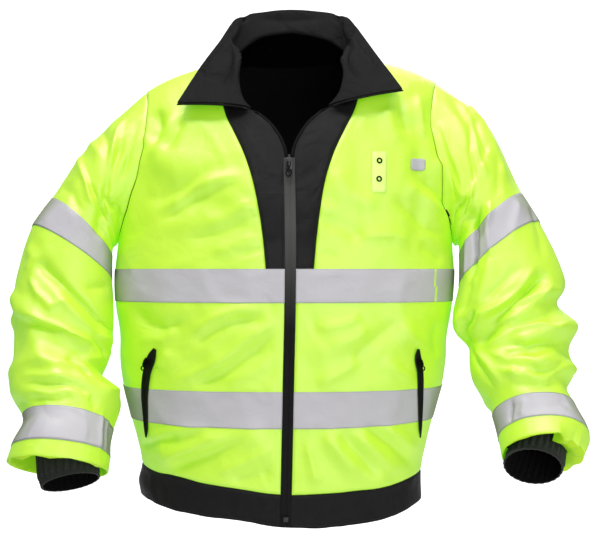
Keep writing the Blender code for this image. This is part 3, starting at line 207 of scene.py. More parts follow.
# calm places: x and height on the front, and how far the calm reaches
calmPlaces = ((137, 147, 34), (200, 157, 22), (-201, -128, 20), (201, -128, 20))

# folds of the sleeves: points are (along, angle), and the angle is 0 outside, 90 in front, 180 inside
rearFolds = (
    (((120, 220), (250, 300)), 16, 7), (((340, 200), (400, 290)), 14, -7), (((430, 210), (420, 300)), 14, 7))
sleeveFolds = {
    -1: (
        (((60, 80), (210, 120)), 13, -8), (((330, 70), (400, 140)), 12, -7), (((395, 20), (440, 120)), 15, 8),
        (((395, -60), (430, 0)), 14, 7), (((468, 30), (474, 120)), 14, -4), (((500, 10), (497, 130)), 12, 4),
        (((512, 60), (512, 150)), 8, -2), (((535, 30), (528, 90)), 10, 2)) + rearFolds + (
        (((512, 200), (508, 310)), 12, -4), (((530, 210), (540, 300)), 10, 4)),
    1: (
        (((40, 40), (130, 60)), 14, -6), (((150, 120), (230, 110)), 12, -8),
        (((345, 60), (430, 140)), 12, -9), (((380, 30), (375, 120)), 12, 8), (((420, 0), (450, 90)), 14, 8),
        (((470, 20), (478, 110)), 10, -7), (((495, 20), (500, 110)), 10, 7),
        (((375, 150), (410, 170)), 10, -7)) + rearFolds + (
        (((480, 200), (485, 310)), 10, -7), (((512, 210), (515, 300)), 10, 6))}
rearCreases = (
    (((60, 200), (130, 214), (190, 222)), 11, -6, 1.5), (((30, 226), (90, 236), (150, 232)), 12, 5, 1.6),
    (((70, 250), (150, 268), (210, 300)), 13, 6, 1.6), (((110, 280), (160, 310), (200, 336)), 10, -5, 1.5),
    (((310, 200), (350, 236), (372, 270)), 8, -7, 1.4), (((326, 254), (344, 290), (338, 326)), 9, 6, 1.5),
    (((360, 220), (392, 262), (400, 310)), 9, 6.5, 1.5), (((400, 196), (430, 244), (440, 300)), 8, -6, 1.4))
sleeveCreases = {
    -1: (
        (((126, 86), (100, 112), (40, 158), (10, 172)), 5, -10, 1.3),
        (((112, 6), (104, 45), (94, 60)), 9, 5, 1.5), (((80, 0), (76, 50), (84, 72)), 8, -5.5, 1.4),
        (((14, 66), (32, 96), (54, 116)), 9, -6, 1.4), (((44, 38), (64, 63), (82, 84), (88, 100)), 9, 6, 1.5),
        (((152, 66), (160, 93), (172, 122)), 9, -6, 1.5), (((138, 2), (160, 57), (184, 96)), 9, 6, 1.5),
        (((196, 20), (204, 60), (216, 92)), 11, -3.5, 1.6),
        (((186, 126), (200, 146), (214, 166)), 9, 4.5, 1.6),
        (((348, 50), (376, 64), (390, 82), (374, 104)), 8, 6.5, 1.4),
        (((322, 56), (338, 75), (346, 99)), 8, -5.5, 1.4), (((298, 30), (318, 50), (340, 40)), 9, 4, 1.6),
        (((340, 84), (364, 111), (380, 135), (390, 190)), 4.5, -8, 1.3),
        (((362, 80), (388, 102), (400, 129), (414, 188)), 7, 6, 1.5),
        (((452, 40), (476, 66), (506, 88), (518, 108)), 16, 7, 1.7),
        (((434, 50), (446, 81), (424, 106)), 9, -5.5, 1.4),
        (((486, 106), (506, 122), (522, 128)), 7, -6, 1.3), (((344, 120), (304, 158)), 9, -5, 1.5),
        (((410, 20), (424, 48), (420, 80)), 10, 4.5, 1.6),
        (((533, 44), (533, 81), (537, 108), (541, 134)), 4.5, -8.5, 1.3),
        (((543, 46), (545, 75), (545, 99), (545, 122)), 4, 5, 1.5),
        (((554, 44), (550, 75), (550, 108)), 3.5, -5, 1.4), (((524, 46), (524, 84), (529, 108)), 5, 4, 1.5),
        (((534, 132), (528, 148), (514, 188)), 7, 6.5, 1.5), (((545, 124), (553, 134)), 5, -5, 1.4),
        (((540, -8), (550, 40)), 6, -5, 1.4), (((550, 142), (584, 145), (618, 148)), 5, 4.6, 1.3),
        (((550, 170), (618, 174)), 20, -4.8), (((554, 158), (590, 160), (616, 163)), 4, 2.6, 1.4),
        (((558, 112), (612, 126)), 6, 2.6, 1.6), (((576, 60), (588, 96)), 8, -1.2, 1.8),
        (((566, 20), (604, 30)), 8, -2, 1.6), (((420, 130), (446, 158), (470, 170)), 8, -5.5, 1.5),
        (((440, 178), (468, 152), (482, 126)), 8, 4.5, 1.6)) + rearCreases + (
        (((460, 200), (468, 260), (456, 320)), 9, 5.5, 1.5),
        (((484, 206), (490, 260), (484, 326)), 8, -5, 1.4),
        (((530, 200), (526, 250), (534, 300)), 6, 4.5, 1.5),
        (((548, 206), (550, 260), (546, 310)), 5, -4.5, 1.4)),
    1: (
        (((84, 30), (112, 42), (142, 47)), 8, -7, 1.4), (((80, 44), (100, 68), (146, 86)), 8, -6, 1.4),
        (((66, 12), (92, 22), (120, 20)), 10, 5, 1.6), (((106, 20), (140, 28), (200, 42)), 11, 5.5, 1.6),
        (((96, 52), (124, 60), (166, 68)), 8, 5, 1.5), (((14, 76), (50, 98), (110, 98)), 10, 5, 1.6),
        (((54, 118), (118, 104), (164, 96)), 8, 6, 1.4), (((130, 100), (104, 122), (72, 144)), 6, -8, 1.4),
        (((104, 148), (128, 160), (150, 170)), 8, -4, 1.5),
        (((132, 88), (158, 104), (138, 126)), 8, 5.5, 1.5),
        (((150, 30), (180, 52), (206, 74)), 10, -3.5, 1.6),
        (((190, 96), (222, 120), (264, 122), (300, 136)), 5, -13, 1.4),
        (((200, 82), (236, 102), (284, 102)), 8, 6, 1.6), (((206, 134), (240, 140), (284, 146)), 8, 5, 1.6),
        (((230, 40), (262, 60), (290, 84)), 12, 4, 1.6), (((250, 20), (290, 34), (316, 52)), 10, -4, 1.6),
        (((276, 102), (312, 116), (354, 130)), 8, 5, 1.5), (((298, 132), (332, 142), (356, 148)), 8, -5, 1.5),
        (((404, 144), (378, 106), (356, 86), (320, 62)), 6.5, 6.5, 1.4),
        (((346, 122), (330, 102), (312, 74)), 7, -6.5, 1.4),
        (((408, 128), (404, 96), (390, 56), (352, 44)), 6.5, 6.5, 1.4),
        (((390, 100), (364, 74), (338, 48)), 6, -7, 1.3),
        (((450, 142), (432, 108), (428, 78), (436, 60), (426, 34)), 6, 7, 1.4),
        (((442, 126), (424, 96), (412, 64), (400, 34)), 6, -7, 1.3),
        (((452, 120), (468, 88), (458, 57), (446, 30)), 6, -7, 1.3),
        (((460, 132), (484, 111), (492, 84), (468, 42)), 6.5, 7, 1.4),
        (((484, 130), (502, 102), (504, 66), (484, 36)), 6, -7, 1.3),
        (((494, 130), (514, 105), (518, 72), (500, 46)), 7, 6.5, 1.4),
        (((522, 122), (532, 86), (522, 50)), 5, -5, 1.4), (((358, 130), (386, 142), (390, 166)), 5, -9, 1.3),
        (((336, 152), (372, 160), (398, 176)), 9, 6, 1.5),
        (((440, 156), (484, 138), (512, 134)), 7, 5.5, 1.5),
        (((432, 172), (482, 152), (512, 150)), 6, -6, 1.4), (((540, 130), (592, 147)), 4, -6, 1.4),
        (((542, 112), (590, 126)), 6, 2.6, 1.6), (((556, 60), (574, 92)), 8, -1.2, 1.8)) + rearCreases + (
        (((450, 200), (458, 260), (446, 320)), 8, 6, 1.5), (((470, 206), (478, 260), (470, 326)), 7, -6, 1.4),
        (((498, 204), (494, 250), (504, 300)), 7, 5.5, 1.5),
        (((522, 212), (524, 260), (520, 310)), 6, -5, 1.4))}
degreeLength = 1.35       # millimetres of sleeve for each degree round it


def ramp(value):
    value = np.clip(value, 0.0, 1.0)
    return value * value * (3.0 - 2.0 * value)


def readTable(table, name, place):
    # the value between rows, on a smooth curve through them
    places = next(iter(table.values()))
    values = table[name]
    place = np.asarray(place, float)
    index = np.clip(np.searchsorted(places, place) - 1, 0, len(places) - 2)
    span = places[index + 1] - places[index]
    share = np.clip((place - places[index]) / span, 0.0, 1.0)
    slopes = np.gradient(values, places)
    rise = 3.0 * share**2 - 2.0 * share**3
    bend = (share**3 - 2.0 * share**2 + share) * slopes[index] + (share**3 - share**2) * slopes[index + 1]
    return values[index] * (1.0 - rise) + values[index + 1] * rise + span * bend


def unit(vectors):
    return vectors / np.maximum(np.linalg.norm(vectors, axis=-1, keepdims=True), 1e-9)


def cloud(a, b, size, seed):
    # soft noise from 0 to 1 over two coordinates in millimetres; what a caller adds picks another part
    lattice = np.random.RandomState(seed).rand(64, 64)
    a = np.asarray(a, float) / size
    b = np.asarray(b, float) / size
    i, j = np.floor(a).astype(int), np.floor(b).astype(int)
    s, t = ramp(a - i), ramp(b - j)
    i, j = i % 64, j % 64
    k, m = (i + 1) % 64, (j + 1) % 64
    low = lattice[i, j] * (1.0 - s) + lattice[k, j] * s
    high = lattice[i, m] * (1.0 - s) + lattice[k, m] * s
    return low * (1.0 - t) + high * t


crumpled = {"wideSize": 58, "smallSize": 27, "wideHeight": 3.4, "smallHeight": 1.5, "bothHeight": 2.0,
            "level": 0.2}


def crumple(a, b, seed):
    # creased cloth: thin ridges between soft hollows, on two scales
    wide = cloud(a + 900, b + 900, crumpled["wideSize"], seed) - 0.5
    small = cloud(a + 0.6 * b + 900, b - 0.3 * a + 900, crumpled["smallSize"], seed + 10) - 0.5
    return (crumpled["wideHeight"] * (crumpled["level"] - np.abs(wide))
            + crumpled["smallHeight"] * (crumpled["level"] - np.abs(small))
            + crumpled["bothHeight"] * small * wide)


def foldHeight(a, b, line, width, height, sharp=2.0, taper=0.0):
    # a soft ridge or trough along a line; with a taper it fades towards its ends
    points = np.array(line, float)
    runs = points[1:] - points[:-1]
    lengths = np.hypot(runs[:, 0], runs[:, 1])
    total = lengths.sum()
    best = np.full(np.shape(a), 1e9)
    place = np.zeros(np.shape(a))
    done = 0.0
    for start, run, length in zip(points[:-1], runs, lengths):
        share = np.clip(((a - start[0]) * run[0] + (b - start[1]) * run[1]) / length**2, 0.0, 1.0)
        distance = np.hypot(a - start[0] - share * run[0], b - start[1] - share * run[1])
        nearer = distance < best
        place = np.where(nearer, (done + share * length) / total, place)
        best = np.where(nearer, distance, best)
        done += length
    shape = height * np.exp(-((best / width) ** sharp))
    if taper > 0.0:
        shape = shape * ramp(np.minimum(place, 1.0 - place) / taper + 0.15)
    return shape


def foldSum(a, b, rows, taper=0.0, turns=(0.0,)):
    # every fold of a table; round a sleeve each one also shows a whole turn away
    total = np.zeros(np.shape(a))
    for line, *shape in rows:
        for turn in turns:
            total += foldHeight(a, b + turn, line, *shape, taper=taper)
    return total


def sectionDepth(face, x, height):
    half = readTable(torso, "half", height)
    depth = readTable(torso, "front" if face < 0 else "back", height)
    ratio = np.minimum(x / half, 1.0)
    return depth * (1.0 - ratio ** cut["sectionPower"]) ** (1.0 / cut["sectionPower"])


def posed(side, x, y, z):
    # the jacket drifts sideways with height, and one shoulder sits higher
    drift = cut["sideDrift"] * (1.0 - ramp(z / cut["driftTop"]))
    wide = side * x * (1.0 - side * drift)
    tilt = cut["shoulderTilt"] * wide * ramp((z - cut["tiltStart"]) / cut["tiltRise"])
    middle = readTable(sway, "amount", z) * ramp(-y / cut["swayDepth"]) * (1.0 - ramp(x / cut["swayHalf"]))
    return np.stack((wide + cut["lean"] * z + middle, y, z + tilt), axis=-1)


def backTop(x):
    neck = edges["opening"][-1]
    inside = np.sqrt(np.maximum(1.0 - (np.minimum(x, neck) / neck) ** 2, 0.0))
    return 1.0 - (1.0 - cut["nape"]) * inside


def bodyPlain(face, x, level):
    # x, y, height before the jacket leans; a level is the share above the armpit or the depth under it
    height = cut["armpit"] + np.minimum(level, 0.0)
    lowY = face * sectionDepth(face, x, height)
    dip = cut["hemDip"] * ramp((cut["dipStart"] - height) / (cut["dipStart"] - cut["hemBottom"]))
    middle = np.maximum(1.0 - (x / readTable(torso, "half", height)) ** 2, 0.0)
    lowZ = height - dip * middle * (1.0 if face < 0 else 0.5)
    power = cut["frontPower"] if face < 0 else cut["backPower"]
    share = np.clip(level, 0.0, 1.0)
    if face > 0:
        share = share * backTop(x)
    turn = share * math.pi / 2.0
    rise = np.sin(turn) ** (2.0 / power)
    run = np.maximum(np.cos(turn), 0.0) ** (2.0 / power)
    highZ = cut["armpit"] + (readTable(crest, "height", x) - cut["armpit"]) * rise
    highY = face * sectionDepth(face, x, cut["armpit"]) * run
    above = level >= 0.0
    return np.where(above, highY, lowY), np.where(above, highZ, lowZ), np.where(above, highZ, height)


def bodyForm(side, face, x, level):
    y, z, height = bodyPlain(face, x, level)
    low = np.clip((cut["hemTop"] - height) / (cut["hemTop"] - cut["hemBottom"]), 0.0, 1.0)
    lower = readTable(hang, "top", side * x) * (1.0 - low) + readTable(hang, "bottom", side * x) * low
    return posed(side, x, y, z - lower * (1.0 - ramp((height - cut["hemTop"]) / cut["hangRun"])))


def bodyNormal(side, face, x, level):
    # small steps over the cloth: away from the zip's edge and from the shoulder line
    across = np.where(x < cut["zipHalf"], 0.05, -0.05)
    up = np.where(level < 0.0, -1.0, np.where(level < 0.5, 0.002, -0.002))
    here = bodyForm(side, face, x, level)
    sideways = (bodyForm(side, face, x + across, level) - here) / across[..., None]
    upward = (bodyForm(side, face, x, level + up) - here) / up[..., None]
    return -side * face * unit(np.cross(sideways, upward))


creasing = {
    "fade": 0.3, "drift": 7.0, "driftSize": 55, "gain": 1.5, "start": 8.0, "full": 26.0,
    "bandGain": 3.0, "bandStart": 1.0, "bandFull": 8.0}


def bodyFolds(side, face, x, level):
    y, _, height = bodyPlain(face, x, level)
    across = side * x
    total = foldSum(across, height, torsoFolds[face])
    size, drift = creasing["driftSize"], creasing["drift"]
    a = across + drift * (cloud(across + 500, height + 900, size, 3) - 0.5)
    b = height + drift * (cloud(across + 300, height + 700, size, 4) - 0.5)
    fine = foldSum(a, b, torsoCreases[face], creasing["fade"]) + crumple(a, b, 11 + face)
    fine *= creasing["gain"]
    band = ramp((cut["hemTop"] - creasing["bandStart"] - height) / creasing["bandFull"])
    gathers = (cloud(across + 500, 0.35 * height + 600, 19, 75)
               + 0.6 * cloud(across + 300, 0.5 * height + 500, 9, 76) - 0.8)
    fine = fine * (1.0 - band) + creasing["bandGain"] * gathers * band
    if face < 0:
        for x0, z0, reach in calmPlaces:
            fine *= 1.0 - np.exp(-(np.hypot(across - x0, height - z0) / reach) ** 4)
    fine *= ramp((x - creasing["start"]) / creasing["full"])
    return (total + fine) * ramp(np.abs(y) / cut["creaseFade"])


def bodySkin(side, face, x, level, lift=0.0):
    normals = bodyNormal(side, face, x, level)
    height = bodyFolds(side, face, x, level) + lift
    return bodyForm(side, face, x, level) + normals * height[..., None], normals


def panelEdges(level):
    # distances from the middle of the opening, the insert's edge and the side or armhole
    height = cut["armpit"] + np.minimum(level, 0.0)
    reach = np.maximum(height, 0.0) / cut["armpit"]
    insert = cut["insertFoot"] + (edges["insert"][0] - cut["insertFoot"]) * reach
    above = level >= 0.0
    share = np.maximum(level, 0.0)
    return (np.where(above, readTable(edges, "opening", share), cut["zipHalf"]),
            np.where(above, readTable(edges, "insert", share), insert),
            np.where(above, readTable(edges, "armhole", share), readTable(torso, "half", height)))


def crowded(start, end, shares):
    # columns that crowd towards the side, where the section turns
    return start + (end - start) * np.sin(shares * math.pi / 2.0) ** (2.0 / cut["sectionPower"])


hemWave = {"reach": 30.0, "height": 4.4, "length": 36, "swell": 5.0, "swellDepth": 333.0, "swellReach": 13.0,
           "swellFrom": 190.0, "swellRun": 34.0}


def wavedHem(points, levels):
    # the band's lower edge waves a little, and one side bulges over it
    reach = hemWave["reach"]
    share = ramp((cut["hemBottom"] + reach - cut["armpit"] - levels) / reach)[:, None]
    wave = cloud(points[..., 0] + 900, 40.0, hemWave["length"], 71) - 0.5
    points[..., 2] += hemWave["height"] * wave * share
    depth = cut["armpit"] + levels[:, None]
    swell = np.exp(-(((depth + hemWave["swellDepth"]) / hemWave["swellReach"]) ** 2))
    swell = swell * ramp((-points[..., 0] - hemWave["swellFrom"]) / hemWave["swellRun"])
    points[..., 0] -= hemWave["swell"] * swell
    return points


def levelsOf(low, high, step):
    # levels between two heights, with closer ones at both ends
    count = max(int(round((high - low) / step)), 2)
    heights = np.linspace(low, high, count + 1)
    extra = (low + 1.2, low + 2.6, high - 2.6, high - 1.2)
    return np.array(sorted({*heights, *extra})) - cut["armpit"]


def fineShares(count):
    # even shares of a width, with closer ones at both ends
    ends = (0.3 / count, 0.65 / count, 1.0 - 0.65 / count, 1.0 - 0.3 / count)
    return np.array(sorted({*np.linspace(0.0, 1.0, count + 1), *ends}))


def frontGrid(side, kind, levels, counts, lift=0.0, inset=0.0):
    opening, insert, half = (values[:, None] for values in panelEdges(levels))
    if kind == "insert":
        x = opening + (insert - opening) * fineShares(counts[0])[None, :]
    elif kind == "upper":
        x = crowded(insert, half, fineShares(counts[1])[None, :])
    else:
        near = opening + inset + (insert - opening - inset) * fineShares(counts[0])[None, :-1]
        x = np.concatenate((near, crowded(insert, half, fineShares(counts[1])[None, :])), axis=1)
    level = np.broadcast_to(levels[:, None], x.shape)
    return bodySkin(side, -1, x, level, lift)


def backGrid(levels, counts, lift=0.0):
    half = panelEdges(levels)[2][:, None]
    neck = edges["opening"][-1]
    inner = neck * np.linspace(0.0, 1.0, counts[0] + 1)[None, :]
    outer = crowded(neck, half, fineShares(counts[1])[None, 1:])
    x = np.concatenate((np.broadcast_to(inner, (len(levels), counts[0] + 1)), outer), axis=1)
    level = np.broadcast_to(levels[:, None], x.shape)
    right, rightNormals = bodySkin(-1, 1, x, level, lift)
    left, leftNormals = bodySkin(1, 1, x, level, lift)
    # the folds of both halves meet in the middle
    middle = (right[:, 0] + left[:, 0]) / 2.0
    right[:, 0] = middle
    left[:, 0] = middle
    return (np.concatenate((right[:, ::-1], left[:, 1:]), axis=1),
            np.concatenate((rightNormals[:, ::-1], leftNormals[:, 1:]), axis=1))


def tubeMiddle(table, along):
    x = (readTable(table, "outerX", along) + readTable(table, "innerX", along)) / 2.0
    z = (readTable(table, "outerZ", along) + readTable(table, "innerZ", along)) / 2.0
    return np.stack((x, readTable(table, "middleY", along), z), axis=-1)


def tubeFrame(table, along):
    # the tube's middle there, and the half width and half depth of its ring
    first, last, step = table["along"][0], table["along"][-1], 6.0
    heading = unit(tubeMiddle(table, np.minimum(along + step, last))
                   - tubeMiddle(table, np.maximum(along - step, first)))
    zero = np.zeros(np.shape(along))
    outer = np.stack((readTable(table, "outerX", along), zero, readTable(table, "outerZ", along)), axis=-1)
    inner = np.stack((readTable(table, "innerX", along), zero, readTable(table, "innerZ", along)), axis=-1)
    width = (outer - inner) / 2.0
    deep = unit(np.cross(heading, width))
    deep = np.where(deep[..., 1:2] > 0.0, -deep, deep)
    return tubeMiddle(table, along), width, deep * readTable(table, "halfDepth", along)[..., None]


def ringPoint(table, along, angle):
    middle, width, deep = tubeFrame(table, along)
    turn = np.radians(angle)[..., None]
    return middle + width * np.cos(turn) + deep * np.sin(turn)


def armholeSkin(side, angle):
    angle = angle % 360.0
    share = np.abs(1.0 - angle / 180.0)
    x = readTable(edges, "armhole", share)
    front = bodySkin(side, -1, x, share)[0]
    back = bodySkin(side, 1, x, share)[0]
    return np.where((angle <= 180.0)[..., None], front, back)


def armholeFacing(side):
    x = readTable(edges, "armhole", np.array((0.0, 1.0)))
    pit, tip = bodyForm(side, -1, x, np.array((0.0, 1.0)))
    facing = unit(np.cross(tip - pit, np.array((0.0, 1.0, 0.0))))
    return facing * (1.0 if facing[0] * side > 0.0 else -1.0)


def sleeveHeight(side, along, angle):
    b = angle * degreeLength
    turns = [turn * degreeLength for turn in (-360.0, 0.0, 360.0)]
    folds, creases = ([([(p, q * degreeLength) for p, q in line], *shape) for line, *shape in table[side]]
                      for table in (sleeveFolds, sleeveCreases))
    wave, wiggle = np.cos(np.radians(angle)), np.sin(np.radians(angle))
    drift, size, wide = 8.0, 40, 120
    a = along + drift * (cloud(along + 400 * side + 900, wide * wave + 900, size, 5) - 0.5)
    shift = drift * (cloud(along + 700, wide * wiggle + 700, size, 6) - 0.5)
    total = foldSum(along, b, folds, 0.0, turns) + foldSum(a, b + shift, creases, creasing["fade"], turns)
    # small unevenness, the same at both ends of the turn
    blend = ramp(0.5 + 0.8 * wiggle)
    return total + crumple(a, 100 * wave, 31) * blend + crumple(a + 300, 100 * wave, 41) * (1.0 - blend)


def sleeveSkin(side, along, angle, lift=0.0):
    table = sleeves[side]
    along, angle = np.broadcast_arrays(np.asarray(along, float), np.asarray(angle, float))
    point = ringPoint(table, along, angle)
    outward = unit(point - tubeMiddle(table, along))
    height = sleeveHeight(side, along, angle) * ramp(along / 60.0) + lift
    point = point + outward * height[..., None]
    rest = 1.0 - ramp(along / cut["capBlend"])
    loop = armholeSkin(side, angle) - armholeFacing(side) * 0.4
    start = ringPoint(table, np.zeros(np.shape(along)), angle)
    return point + rest[..., None] * (loop - start), outward


def necklineSkin(place):
    # the neck seam, from one end over the back to the other
    shoulder = 0.55
    amount = np.abs(place)
    low = edges["share"][5]
    share = low + (1.0 - low) * (1.0 - amount) / (1.0 - shoulder)
    share = np.clip(share, low, 1.0)
    backX = edges["opening"][-1] * np.minimum(amount / shoulder, 1.0)
    result = np.zeros(np.shape(place) + (3,))
    for side in (-1, 1):
        front = bodyForm(side, -1, readTable(edges, "opening", share), share)
        back = bodyForm(side, 1, backX, np.ones(np.shape(place)))
        here = np.where((amount >= shoulder)[..., None], front, back)
        mine = (place < 0.0) if side < 0 else (place >= 0.0)
        result = np.where(mine[..., None], here, result)
    return result


def collarForm(place, up):
    place = np.clip(place, -1.0, 1.0)
    roll = np.stack([readTable(collarRibs, name, place) for name in ("rollX", "rollY", "rollZ")], axis=-1)
    edge = np.stack([readTable(collarRibs, name, place) for name in ("edgeX", "edgeY", "edgeZ")], axis=-1)
    seamPart = ((1.0 - up) * (1.0 - up / 0.5))[..., None]
    rollPart = (up * (1.0 - up) / 0.25)[..., None]
    edgePart = (up * (up - 0.5) / 0.5)[..., None]
    return necklineSkin(place) * seamPart + roll * rollPart + edge * edgePart


def collarNormal(place, up):
    step = 0.01
    around = collarForm(np.minimum(place + step, 1.0), up) - collarForm(np.maximum(place - step, -1.0), up)
    rise = collarForm(place, up + step) - collarForm(place, up - step)
    return unit(np.cross(rise, around))


collarCreases = (
    (((-0.98, 0.66), (-0.84, 0.58), (-0.66, 0.56)), 8, 4.2, 1.5),
    (((-0.94, 0.36), (-0.78, 0.40), (-0.62, 0.44)), 7, -4.0, 1.5),
    (((-0.90, 0.90), (-0.78, 0.80), (-0.70, 0.74)), 6, -3.2, 1.5),
    (((-0.64, 0.97), (-0.60, 0.72), (-0.66, 0.46)), 8, 2.4, 1.6),
    (((-0.52, 1.0), (-0.49, 0.74), (-0.54, 0.5)), 8, -1.8, 1.6),
    (((-0.42, 1.0), (-0.40, 0.78)), 7, 2.8, 1.6),
    (((0.97, 0.62), (0.82, 0.52), (0.66, 0.54)), 8, 4.2, 1.5),
    (((0.92, 0.86), (0.78, 0.76), (0.66, 0.74)), 6, -3.8, 1.5),
    (((0.90, 0.34), (0.76, 0.34), (0.62, 0.40)), 7, -3.6, 1.5),
    (((0.62, 0.98), (0.60, 0.74), (0.66, 0.48)), 8, 2.4, 1.6),
    (((0.50, 1.0), (0.50, 0.70), (0.55, 0.5)), 8, -1.8, 1.6),
    (((0.40, 1.0), (0.38, 0.76)), 7, 2.8, 1.6),
    (((-0.3, 0.82), (0.0, 0.74), (0.3, 0.84)), 10, 2.0, 1.8),
)


def collarSkin(place, up):
    half, tall = 260.0, 100.0      # half the collar's length and its height
    uneven, size, gain, seamShare = 1.4, 38, 2.0, 0.2
    a, b = place * half, up * tall
    rows = [([(p * half, q * tall) for p, q in line], *shape) for line, *shape in collarCreases]
    height = uneven * (cloud(a + 900, b + 900, size, 51) - 0.5) + gain * foldSum(a, b, rows, creasing["fade"])
    height = height * ramp(up / seamShare)
    normals = collarNormal(place, up)
    return collarForm(place, up) + normals * height[..., None], normals


def arcLengths(points, axis, wrap=False):
    if wrap:
        points = np.concatenate((points, points[:, :1]), axis=1)
    steps = np.linalg.norm(np.diff(points, axis=axis), axis=-1)
    start = np.zeros_like(np.take(steps, [0], axis=axis))
    return np.concatenate((start, np.cumsum(steps, axis=axis)), axis=axis)


def seamDip(points, normals, size, sides, closed=False):
    # lets the cloth dip at its seams: top, bottom, first and last column
    across = arcLengths(points, 1, closed)
    down = arcLengths(points, 0)
    if closed:
        across = across[:, :-1]
    distance = np.full(points.shape[:2], 1e3)
    for name, value in (("low", down), ("high", down[-1:] - down),
                        ("first", across), ("last", across[:, -1:] - across)):
        if name in sides:
            distance = np.minimum(distance, value)
    return points - normals * (size * np.exp(-((distance / cut["seamWidth"]) ** 2)))[..., None]


def clothObject(name, points, normals, thickness, finishes, closed=False, rim=0):
    # one skin of quads with its thread directions in millimetres as UV, then a wall of the cloth's thickness
    rows, columns = points.shape[:2]
    last = columns if closed else columns - 1
    r, c = np.meshgrid(np.arange(rows - 1), np.arange(last), indexing="ij")

    def atCorners(values):
        return np.stack((values[r, c], values[r, c + 1], values[r + 1, c + 1], values[r + 1, c]), axis=-1)

    start, near = r * columns, (c + 1) % columns
    corners = np.stack((start + c, start + near, start + columns + near, start + columns + c), axis=-1)
    across, down = arcLengths(points, 1, closed), arcLengths(points, 0)
    across = across - across[:, -1:] / 2.0
    if closed:
        down = np.concatenate((down, down[:, :1]), axis=1)
    half = np.broadcast_to((across[:, -1:] - across[:, :1]) / 2.0, across.shape)
    u, v = atCorners(across), atCorners(down)
    sideways = np.full(u.shape, 1e3) if closed else atCorners(half) - np.abs(u)
    total = atCorners(np.broadcast_to(down[-1:, :], down.shape))
    updown = np.minimum(v, total - v)
    seam = np.minimum(sideways, updown)
    run = np.where(sideways < updown, v, u)
    a, b, d = points[0, 0], points[0, 1], points[1, 1]
    if np.dot(np.cross(b - a, d - a), normals[0, 0]) < 0.0:
        corners, u, v, seam, run = (values[..., ::-1] for values in (corners, u, v, seam, run))
    place = points.reshape(-1, 3) - (0.0, 0.0, originHeight)
    mesh = bpy.data.meshes.new(name)
    mesh.from_pydata((place * mm).tolist(), [], corners.reshape(-1, 4).tolist())
    for label, x, y in (("cloth", u, v), ("seam", seam, run)):
        layer = mesh.uv_layers.new(name=label)
        layer.data.foreach_set("uv", np.stack((x.ravel(), y.ravel()), axis=-1).ravel().astype(np.float32))
    mesh.shade_smooth()
    obj = bpy.data.objects.new(name, mesh)
    bpy.context.scene.collection.objects.link(obj)
    for finishUsed in finishes:
        mesh.materials.append(finishUsed)
    wall = obj.modifiers.new("wall", "SOLIDIFY")
    wall.thickness = thickness * mm
    wall.offset = -1.0
    wall.use_rim = True
    wall.material_offset = len(finishes) - 1
    wall.material_offset_rim = rim
    applyModifiers(obj)
    obj["clothWidth"] = float((across[:, -1] - across[:, 0]).max() * mm)
    obj["clothLength"] = float(down[-1].max() * mm)
    crosses = np.cross(points[1:, 1:] - points[:-1, :-1], points[1:, :-1] - points[:-1, 1:])
    obj["clothArea"] = float(np.linalg.norm(crosses, axis=-1).sum() / 2.0 * mm * mm)
    return obj


def applyModifiers(obj):
    bpy.context.view_layer.objects.active = obj
    for modifier in list(obj.modifiers):
        bpy.ops.object.modifier_apply(modifier=modifier.name)


def isSocket(value):
    return isinstance(value, bpy.types.NodeSocket)


def addNode(tree, kind, inputs=None, **settings):
    node = tree.nodes.new(kind)
    for key, value in settings.items():
        setattr(node, key, value)
    for key, value in (inputs or {}).items():
        if isSocket(value):
            tree.links.new(value, node.inputs[key])
        else:
            node.inputs[key].default_value = value
    return node


def calc(tree, operation, *values):
    return addNode(tree, "ShaderNodeMath", dict(enumerate(values)), operation=operation).outputs[0]


def spread(tree, value, low, high, first, last):
    # carries a value from one range to another
    return addNode(tree, "ShaderNodeMapRange", {0: value, 1: low, 2: high, 3: first, 4: last}).outputs[0]


def between(tree, amount, first, second):
    # a colour between two tones or colour sockets
    first, second = (value if isSocket(value) else (*value, 1.0) for value in (first, second))
    inputs = {"Factor": amount, "A": first, "B": second}
    return addNode(tree, "ShaderNodeMix", inputs, data_type="RGBA").outputs["Result"]


def shaded(tree, color, amount):
    return addNode(tree, "ShaderNodeVectorMath", {0: color, "Scale": amount}, operation="SCALE").outputs[0]


def newGroup(name, inputs, outputs):
    group = bpy.data.node_groups.new(name, "ShaderNodeTree")
    for label, value in inputs.items():
        kind = "NodeSocketVector" if value is None else "NodeSocketFloat"
        socket = group.interface.new_socket(name=label, in_out="INPUT", socket_type=kind)
        if value is not None:
            socket.default_value = value
    for label in outputs:
        group.interface.new_socket(name=label, in_out="OUTPUT", socket_type="NodeSocketFloat")
    return group, group.nodes.new("NodeGroupInput").outputs, group.nodes.new("NodeGroupOutput").inputs


def weaveGroup():
    # crossing threads from the cloth's own directions, in millimetres
    group, given, result = newGroup("threads", {"Cloth": None, "Pitch": 0.6, "Slub": 0.3}, ("Height",))
    split = addNode(group, "ShaderNodeSeparateXYZ", {0: given["Cloth"]})
    turn = calc(group, "DIVIDE", math.tau, given["Pitch"])
    warp, weft = (calc(group, "SINE", calc(group, "MULTIPLY", way, turn)) for way in split.outputs[:2])
    noise = addNode(group, "ShaderNodeTexNoise", {"Vector": given["Cloth"], "Scale": 0.35, "Detail": 3.0})
    slub = calc(group, "MULTIPLY", calc(group, "SUBTRACT", noise.outputs[0], 0.5), given["Slub"])
    over = calc(group, "MULTIPLY", warp, weft)
    group.links.new(calc(group, "MULTIPLY_ADD", over, 0.5, slub), result["Height"])
    return group


